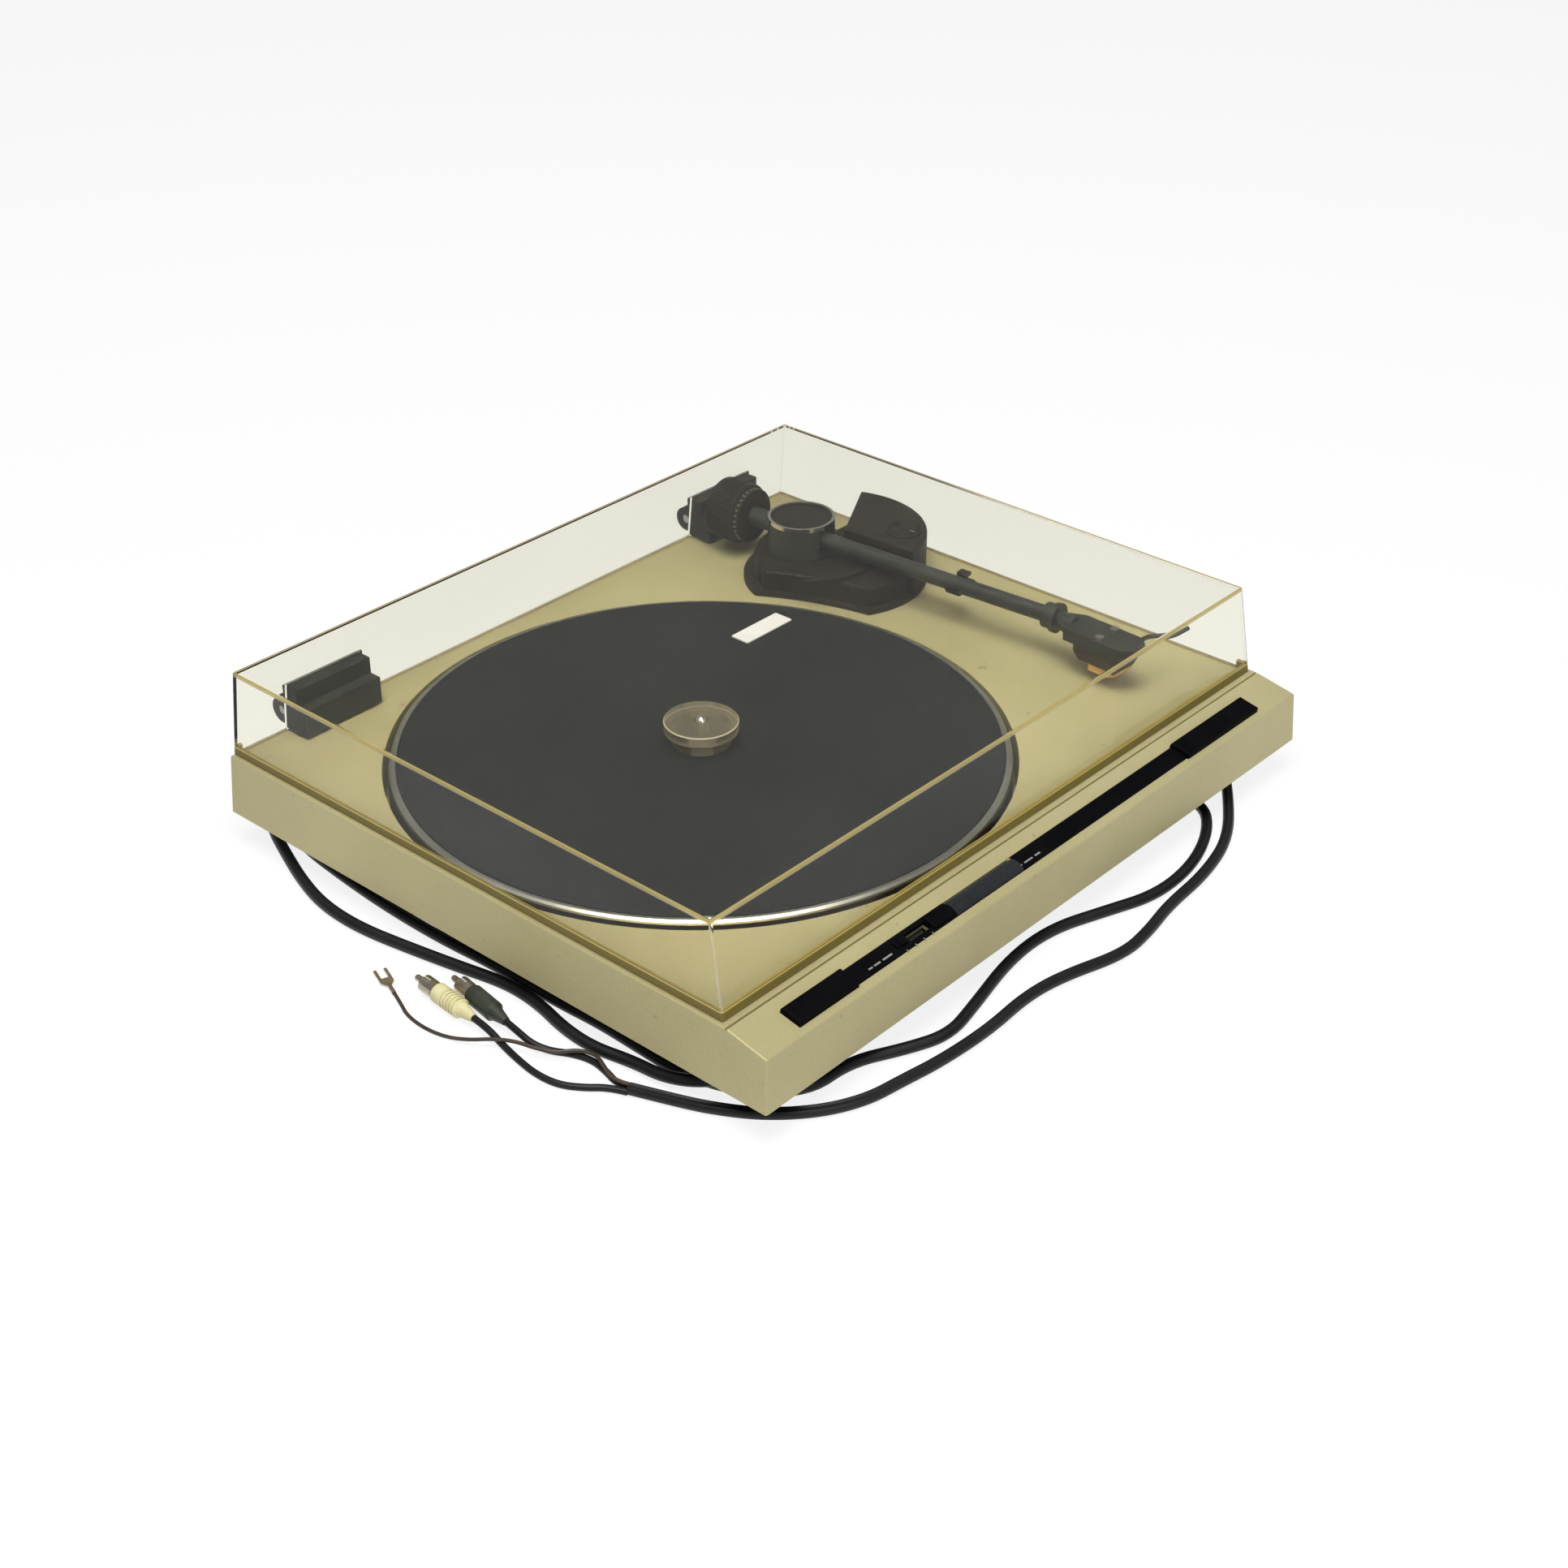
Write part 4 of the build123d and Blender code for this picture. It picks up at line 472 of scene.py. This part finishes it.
# %% Inside the cabinet
copper = finish("coil_copper", (0.42, 0.17, 0.07), (0.55, 0.24, 0.10), patch=300, grain=3000,
                rough=(0.3, 0.4), metallic=0.9, bump=0.3)
wear(copper, "stator_coils")
magnet = finish("magnet_ferrite", (0.03, 0.03, 0.032), (0.05, 0.05, 0.052), patch=60, grain=1500,
                rough=(0.6, 0.7), bump=0.15)
wear(magnet, "rotor_magnet")
board_brown = finish("board_brown", (0.16, 0.09, 0.03), (0.22, 0.13, 0.05), patch=40, grain=1200,
                     rough=(0.4, 0.5), bump=0.08)
wear(board_brown, "stator_board", "control_board")
core_iron = finish("core_iron", (0.06, 0.05, 0.045), (0.10, 0.09, 0.08), patch=50, grain=1500,
                   rough=(0.5, 0.6), metallic=0.6, bump=0.2, stretch=(1, 12, 1))
wear(core_iron, "power_transformer")
print("inside finishes: 4")

# %% [markdown]
# The cords' jacket is soft black vinyl. The signal cord's is extruded as two cores side by side, so light
# picks out a line along it. A curve's own UV runs along the cord in U and round it in V: two waves of V give
# two dips, and only their deepest part is kept, which presses in two shallow seams.


# %% Cord finishes
def press_seams(material, strength):
    """Two long seams, one on each side of a cord."""
    tree = material.node_tree
    split = add_node(tree, "SeparateXYZ", {"Vector": tree.nodes["place"].outputs["UV"]})
    turns = combine("MULTIPLY", split.outputs["Y"], 4 * pi)
    wave = add_node(tree, "Math", {0: turns}, operation="COSINE").outputs["Value"]
    press(material, ramp(wave, 0.6, 1.0, 0.0, 1.0), strength, 0.001)


black_vinyl = dict(tone=(0.005, 0.005, 0.0055), other=(0.011, 0.011, 0.012), patch=60, grain=1500,
                   rough=(0.38, 0.5), bump=0.06, specular=0.3)
twin_vinyl = finish("twin_vinyl", **black_vinyl)
press_seams(twin_vinyl, 0.6)
cord_vinyl = finish("cord_vinyl", **black_vinyl)
ground_vinyl = finish("ground_vinyl", (0.028, 0.017, 0.011), (0.06, 0.04, 0.026), patch=120, grain=2000,
                      rough=(0.4, 0.55), bump=0.06)
for cord, jacket, slot_name in (
    (signal_cord, twin_vinyl, "cord_black"), (power_cord, cord_vinyl, "cord_black"),
    (white_lead, cord_vinyl, "cord_black"), (dark_lead, cord_vinyl, "cord_black"),
    (power_relief, cord_vinyl, "cord_black"), (signal_relief, cord_vinyl, "cord_black"),
    (ground_lead, ground_vinyl, "cord_brown"),
):
    cord.data.materials.clear()
    cord.data.materials.append(jacket)
wear(cord_vinyl, "mains_plug")
plug_cream = finish("plug_cream", (0.52, 0.46, 0.23), (0.68, 0.64, 0.38), patch=120, grain=2500,
                    rough=(0.4, 0.55), bump=0.06)
wear(plug_cream, "white_plug")
plug_dark = finish("plug_dark", (0.022, 0.027, 0.020), (0.05, 0.056, 0.042), patch=100, grain=2500,
                   rough=(0.35, 0.5), bump=0.06, specular=0.4)
wear(plug_dark, "dark_plug")
print("cord and plug finishes: 5")

# %% [markdown]
# The dust cover is a box of clear acrylic that has yellowed. It could be faked with plain alpha, but then its
# edges and its thickness would vanish, so it is real glass here: light bends at each wall, and the corners
# show as double lines. A little of the surface is a plain diffuse haze with fine scratches, which lifts the
# blacks below it. Where a face turns into another, the plastic looks amber, so those edges let less light
# through and take a tone of their own: the size of each part of the normal tells where a face turns. Lamps
# would not find their way through bent glass, so shadow rays see a tinted transparent sheet instead.


# %% Clear plastic helpers
def clear_plastic(name, tint, rough):
    """A see-through finish that bends light a little."""
    material = finish(name, tint, tint, patch=12, grain=600, rough=rough, bump=0)
    feed(material.node_tree.nodes["Principled BSDF"], {"IOR": 1.22, "Specular Tint": (0.3, 0.3, 0.3, 1)})
    return material


def clear_share(tree, haze):
    """What the haze, in its patches, and the fine scratches leave clear."""
    patches = ramp(tree.nodes["wide"].outputs["Fac"], 0, 1, 1.4, 0.6)
    along = add_node(tree, "Mapping", {"Vector": tree.nodes["place"].outputs["Object"],
                                       "Rotation": (0, 0, radians(38)), "Scale": (9, 420, 30)})
    scratches = add_node(tree, "TexNoise", {"Vector": along.outputs["Vector"], "Scale": 1, "Detail": 3})
    lines = ramp(scratches.outputs["Fac"], 0.70, 0.78, 0.03)
    film = add_node(tree, "Math", {0: haze, 1: patches, 2: lines}, operation="MULTIPLY_ADD")
    return add_node(tree, "Math", {0: 1, 1: film.outputs["Value"]}, operation="SUBTRACT").outputs["Value"]


def turned_edges(tree):
    """Where a surface turns from an upright to a level face, and less so where it turns at all."""
    normal = add_node(tree, "SeparateXYZ", {"Vector": tree.nodes["place"].outputs["Normal"]})
    sizes = [add_node(tree, "Math", {0: normal.outputs[axis]}, operation="ABSOLUTE").outputs["Value"]
             for axis in "XYZ"]
    leaning = combine("MINIMUM", ramp(sizes[2], 0.22, 0.32), ramp(sizes[2], 0.97, 0.9))
    turning = ramp(combine("MAXIMUM", *sizes), 0.955, 0.9, 0.3)
    return combine("MAXIMUM", leaning, turning)


def make_clear(material, clear, edge, tone, shade):
    """Light goes through except at the edges, and lamps see a tinted sheet."""
    tree = material.node_tree
    shader = tree.nodes["Principled BSDF"]
    edge_loss = 0.75
    through = {0: edge, 1: -edge_loss, 2: clear}
    less = add_node(tree, "Math", through, operation="MULTIPLY_ADD", use_clamp=True)
    feed(shader, {"Transmission Weight": less.outputs["Value"], "Base Color": tone})
    rays = add_node(tree, "LightPath", {})
    sheet = add_node(tree, "BsdfTransparent", {"Color": (*shade, 1)})
    mix = add_node(tree, "MixShader", {"Fac": rays.outputs["Is Shadow Ray"], 1: shader.outputs["BSDF"],
                                       2: sheet.outputs["BSDF"]})
    feed(tree.nodes["Material Output"], {"Surface": mix.outputs["Shader"]})


# %% [markdown]
# The cover is hazier on its dusty top than on its walls. Besides its turned edges, four more places are
# amber: the ring where the walls meet the top, the lowest line of the walls, and the far and right edges of
# the top, where a painted amber glow on the outer face stands in for their lit thickness seen from inside.
# The front and left walls also show an olive band of painted shade at their foot, with a painted bright
# line above it where the thick old plastic pipes light. Each of them is a short ramp on the height, on a
# side's place, or on both.

# %% Dust cover
# the olive is painted shade and the gleam a painted highlight on the cover's front and left walls
cover_amber, shade_olive, cover_gleam = (0.40, 0.32, 0.10), (0.20, 0.16, 0.05), (0.60, 0.48, 0.15)
top_haze, wall_haze = 0.008, 0.003
left_wall, front_wall = -0.2, -0.148
right_edge, far_edge = 0.2013, 0.1686
wall_blend, edge_blend, line_blend = 0.001, 0.0004, 0.0002
cover_low, cover_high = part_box("dust_cover")
cover_top, cover_foot = cover_high.z, cover_low.z
shade_band_top = cover_foot + 0.0042
gleam_low, gleam_high = shade_band_top - line_blend, shade_band_top + 0.0006
cover_acrylic = clear_plastic("cover_acrylic", (0.93, 0.925, 0.865), (0.015, 0.05))
tree = cover_acrylic.node_tree
axes = add_node(tree, "SeparateXYZ", {"Vector": tree.nodes["place"].outputs["Object"]}).outputs
x, y, z = axes["X"], axes["Y"], axes["Z"]
haze = ramp(z, cover_top - 0.0022, cover_top - 0.0018, top_haze, wall_haze)
near_wall = combine("MAXIMUM", ramp(x, left_wall, left_wall - wall_blend),
                    ramp(y, front_wall, front_wall - wall_blend))
# painted shade: an olive band at the foot of the front and left walls
shade_band = combine("MULTIPLY", near_wall, ramp(z, shade_band_top + line_blend, shade_band_top - line_blend))
# painted highlight: a bright line just above that band
gleam = combine("MULTIPLY", near_wall, combine("MINIMUM", ramp(z, gleam_low - line_blend, gleam_low),
                                               ramp(z, gleam_high + line_blend, gleam_high)))
level = add_node(tree, "SeparateXYZ", {"Vector": tree.nodes["place"].outputs["Normal"]}).outputs["Z"]
upright = ramp(add_node(tree, "Math", {0: level}, operation="ABSOLUTE").outputs["Value"], 0.6, 0.5)
top_ring = combine("MULTIPLY", ramp(z, cover_top - 0.0023, cover_top - 0.0019, 0.85), upright)
foot_line = ramp(z, cover_foot + 0.0010, cover_foot + 0.0006, 0.8)
# painted glow: amber along the far and right edges of the top
glow_sides = combine("MAXIMUM", ramp(x, right_edge, right_edge + edge_blend),
                    ramp(y, far_edge, far_edge + edge_blend))
far_edge_glow = combine("MULTIPLY", glow_sides, ramp(z, cover_top - 0.0004, cover_top - 0.0002, 0.9))
# the edge mask holds the real amber edges and also the painted glow, painted shade band and painted highlight
edge = combine("MAXIMUM", turned_edges(tree), far_edge_glow, top_ring, foot_line, shade_band, gleam)
tone = lay_over(edge, tree.nodes["tones"].outputs["Color"], cover_amber)
# painted shade and painted highlight laid over the amber
tone = lay_over(gleam, lay_over(shade_band, tone, shade_olive), cover_gleam)
make_clear(cover_acrylic, clear_share(tree, haze), edge, tone, shade=(0.61, 0.59, 0.57))
wear(cover_acrylic, "dust_cover")
print("cover: clear acrylic, top at", round(cover_top, 4))

# %% [markdown]
# The adapter disc for records with a large hole is the same kind of plastic, but smoky, dull and hazy all
# over.

# %% Record adapter
adapter_smoke = (0.46, 0.41, 0.29)
adapter_haze = 0.22
adapter_plastic = clear_plastic("adapter_plastic", adapter_smoke, (0.12, 0.3))
tree = adapter_plastic.node_tree
edge = turned_edges(tree)
tone = lay_over(edge, tree.nodes["tones"].outputs["Color"], adapter_smoke)
make_clear(adapter_plastic, clear_share(tree, adapter_haze), edge, tone, shade=(0.6, 0.57, 0.5))
wear(adapter_plastic, "record_adapter")
print("adapter: smoky plastic")

# %% [markdown]
# The solid model stops at the larger forms. The small things that the hand and the eye find are made here:
# grips on the counterweight, marks on its scale ring and on the dial, and raised marks on the key strip. Each
# kind is modelled once, a block with rounded edges, and a spin with copies sets it round its axis.


# %% Small block
def small_block(name, size, place, turns, round_off, material, body):
    """A block in millimetres with rounded edges, turned about the origin and moved to its place."""
    bpy.ops.object.select_all(action="DESELECT")
    bpy.ops.mesh.primitive_cube_add(size=1, location=(0, 0, 0))
    block = bpy.context.active_object
    block.name = name
    bpy.ops.object.mode_set(mode="EDIT")
    bpy.ops.mesh.select_all(action="SELECT")
    bpy.ops.transform.resize(value=[length * mm for length in size])
    bpy.ops.mesh.bevel(offset=round_off * mm, segments=2, affect="EDGES")
    for axis, angle in turns:
        bpy.ops.transform.rotate(value=-radians(angle), orient_axis=axis, center_override=(0, 0, 0))
    bpy.ops.transform.translate(value=[length * mm for length in place])
    bpy.ops.object.mode_set(mode="OBJECT")
    block.data.materials.append(material)
    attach(block, body)
    return block


def set_round(block, centre, axis, count):
    """Copies of a block round an axis, all in one mesh."""
    bpy.ops.object.select_all(action="DESELECT")
    block.select_set(True)
    bpy.context.view_layer.objects.active = block
    bpy.ops.object.mode_set(mode="EDIT")
    bpy.ops.mesh.select_all(action="SELECT")
    turn = 2 * pi * (count - 1) / count
    bpy.ops.mesh.spin(steps=count - 1, dupli=True, angle=turn, center=centre, axis=axis)
    bpy.ops.object.mode_set(mode="OBJECT")
    print(block.name, count, "copies,", len(block.data.polygons), "faces")


# %% Counterweight grips and scale marks
arm_angle = 4.16
arm_height = 0.074
weight_grip_count, scale_mark_count = 60, 30
arm_back = Vector((-sin(radians(arm_angle)), cos(radians(arm_angle)), 0))
pivot_low, pivot_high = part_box("pivot_cap")
arm_centre = Vector(((pivot_low.x + pivot_high.x) / 2, (pivot_low.y + pivot_high.y) / 2, arm_height))


def on_arm(node, lift=0.0):
    """The top of a round node at its middle along the arm, in millimetres, or a little above it."""
    low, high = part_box(node)
    reach = ((low.y + high.y) / 2 - arm_centre.y) / arm_back.y
    point = arm_centre + arm_back * reach + Vector((0, 0, high.z - arm_height + lift))
    return [v / mm for v in point]


grip = small_block("weight_grips", (0.9, 11, 0.5), on_arm("counterweight", 0.0001), [("Z", arm_angle)], 0.2,
                   arm_charcoal, "weight")
set_round(grip, arm_centre, arm_back, weight_grip_count)
scale_white = finish("scale_white", (0.30, 0.27, 0.20), (0.40, 0.36, 0.28), patch=80, grain=2500,
                     rough=(0.5, 0.6), bump=0.03, specular=0.2)
scale = small_block("scale_marks", (0.35, 1.8, 0.2), on_arm("scale_ring"), [("Z", arm_angle)], 0.06,
                    scale_white, "weight")
set_round(scale, arm_centre, arm_back, scale_mark_count)

# %% Dial grips and pointer
dial_grip_count = 36
grip_inset, pointer_inset = 1.9, 4.6
dial_low, dial_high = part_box("bias_dial")
dial_centre = Vector(((dial_low.x + dial_high.x) / 2, (dial_low.y + dial_high.y) / 2, dial_high.z))
dial_x, dial_y, dial_z = [v / mm for v in dial_centre]
dial_front = dial_y - (dial_high.x - dial_low.x) / 2 / mm
grip = small_block("dial_grips", (0.6, 1.6, 0.5), (dial_x, dial_front + grip_inset, dial_z + 0.1), [], 0.15,
                   arm_charcoal, "dial")
set_round(grip, dial_centre, (0, 0, 1), dial_grip_count)
small_block("dial_pointer", (0.5, 3.2, 0.2), (dial_x, dial_front + pointer_inset, dial_z + 0.05), [], 0.06,
            scale_white, "dial")
print("dial pointer: 3.2 mm long")

# %% [markdown]
# The key strip carries a few small pale marks, bars beside the two keys and ticks along the slot, which are
# printed on the real piece, and one gold spot that is a painted glint. Here they are thin raised blocks, so
# that they stay as they are when the finishes are simplified. The strip leans by its slope, so each place is
# a distance up the slope and a height.

# %% Strip marks
strip_slope = 11.36
strip_y, strip_z = -173.5, 47.49
mark_lift = 0.86
mark_thickness = 0.12
key_bars = [(-131, 2.6), (-126.5, 4.2), (-119.5, 6.4), (-22, 2.8), (-15.5, 6.2), (-8.5, 4.0)]
bar_row, tick_row, glint_row = -2.2, -5.4, 3.6
first_tick, tick_spacing, tick_count = -109, 6, 4
mark_grey = finish("mark_grey", (0.20, 0.20, 0.17), (0.28, 0.28, 0.24), patch=80, grain=2500,
                   rough=(0.5, 0.6), bump=0.02, specular=0.2)
# painted highlight: a gold tone for a small glint at the window's right end
glint_gold = finish("glint_gold", (0.55, 0.38, 0.10), (0.70, 0.52, 0.18), patch=80, grain=2500,
                   rough=(0.3, 0.4), metallic=0.5, bump=0.02)


def strip_mark(name, x, along, width, depth, material):
    """A thin mark on the strip's trim."""
    up, out = sin(radians(strip_slope)), cos(radians(strip_slope))
    place = (x, strip_y + along * out - mark_lift * up, strip_z + along * up + mark_lift * out)
    small_block(name, (width, depth, mark_thickness), place, [("X", strip_slope)], 0.03, material, "cabinet")


for number, (x, width) in enumerate(key_bars):
    strip_mark("name_bar_%d" % number, x, bar_row, width, 0.9, mark_grey)
for number in range(tick_count):
    strip_mark("slot_tick_%d" % number, first_tick + tick_spacing * number, tick_row, 0.5, 1.4, mark_grey)
# the gold spot is a painted glint
strip_mark("glint_spot", -23, glint_row, 2.2, 1.6, glint_gold)
print("strip marks:", len(key_bars) + tick_count + 1)

# %% [markdown]
# The floor is a wide pale sheet and the light is large and soft. The floor is shown to the camera and to rays
# that come off metal or through the cover as mostly plain white, and the rest of it still takes the shadow.

# %% Floor
bpy.ops.mesh.primitive_plane_add(size=30, location=(0, 0, 0))
floor = bpy.context.active_object
floor.name = "floor"
seen_share = 0.85
floor_white = bpy.data.materials.new("floor_white")
floor_white.use_nodes = True
tree = floor_white.node_tree
shader = tree.nodes["Principled BSDF"]
feed(shader, {"Base Color": (0.9, 0.9, 0.9, 1), "Roughness": 0.9})
rays = add_node(tree, "LightPath", {}).outputs
seen = combine("MAXIMUM", rays["Is Camera Ray"], rays["Is Glossy Ray"], rays["Is Transmission Ray"])
white = add_node(tree, "Emission", {"Strength": 1})
mix = add_node(tree, "MixShader", {"Fac": combine("MULTIPLY", seen, seen_share), 1: shader.outputs["BSDF"],
                                   2: white.outputs["Emission"]})
feed(tree.nodes["Material Output"], {"Surface": mix.outputs["Shader"]})
floor.data.materials.append(floor_white)
print("floor:", [round(v) for v in floor.dimensions], "m")

# %% [markdown]
# The world is a weak even light, so that dark and glossy faces stay dark, and the camera sees it as pale as
# the floor. Two large soft lamps do the rest: one above, and a weaker one in front that opens the shadows.

# %% Light
world = bpy.data.worlds.new("studio")
bpy.context.scene.world = world
world.use_nodes = True
rays = add_node(world.node_tree, "LightPath", {}).outputs
world_light, world_seen = 0.22, 0.95
strength = ramp(rays["Is Camera Ray"], 0, 1, world_seen, world_light)
feed(world.node_tree.nodes["Background"], {"Color": (1, 1, 1, 1), "Strength": strength})


def soft_lamp(name, place, size, power):
    """A large square lamp that looks at the turntable."""
    light = bpy.data.lights.new(name, "AREA")
    light.size = size
    light.energy = power
    lamp = bpy.data.objects.new(name, light)
    bpy.context.scene.collection.objects.link(lamp)
    lamp.location = place
    lamp.rotation_euler = (-Vector(place)).to_track_quat("-Z", "Y").to_euler()


soft_lamp("key", (-0.55, -0.35, 2.1), 1.4, 56)
soft_lamp("fill", (-0.5, -1.7, 0.9), 1.2, 7)
bpy.context.scene.view_settings.view_transform = "Standard"
print("lamps: 2")

# %% Update the scene
bpy.context.view_layer.update()
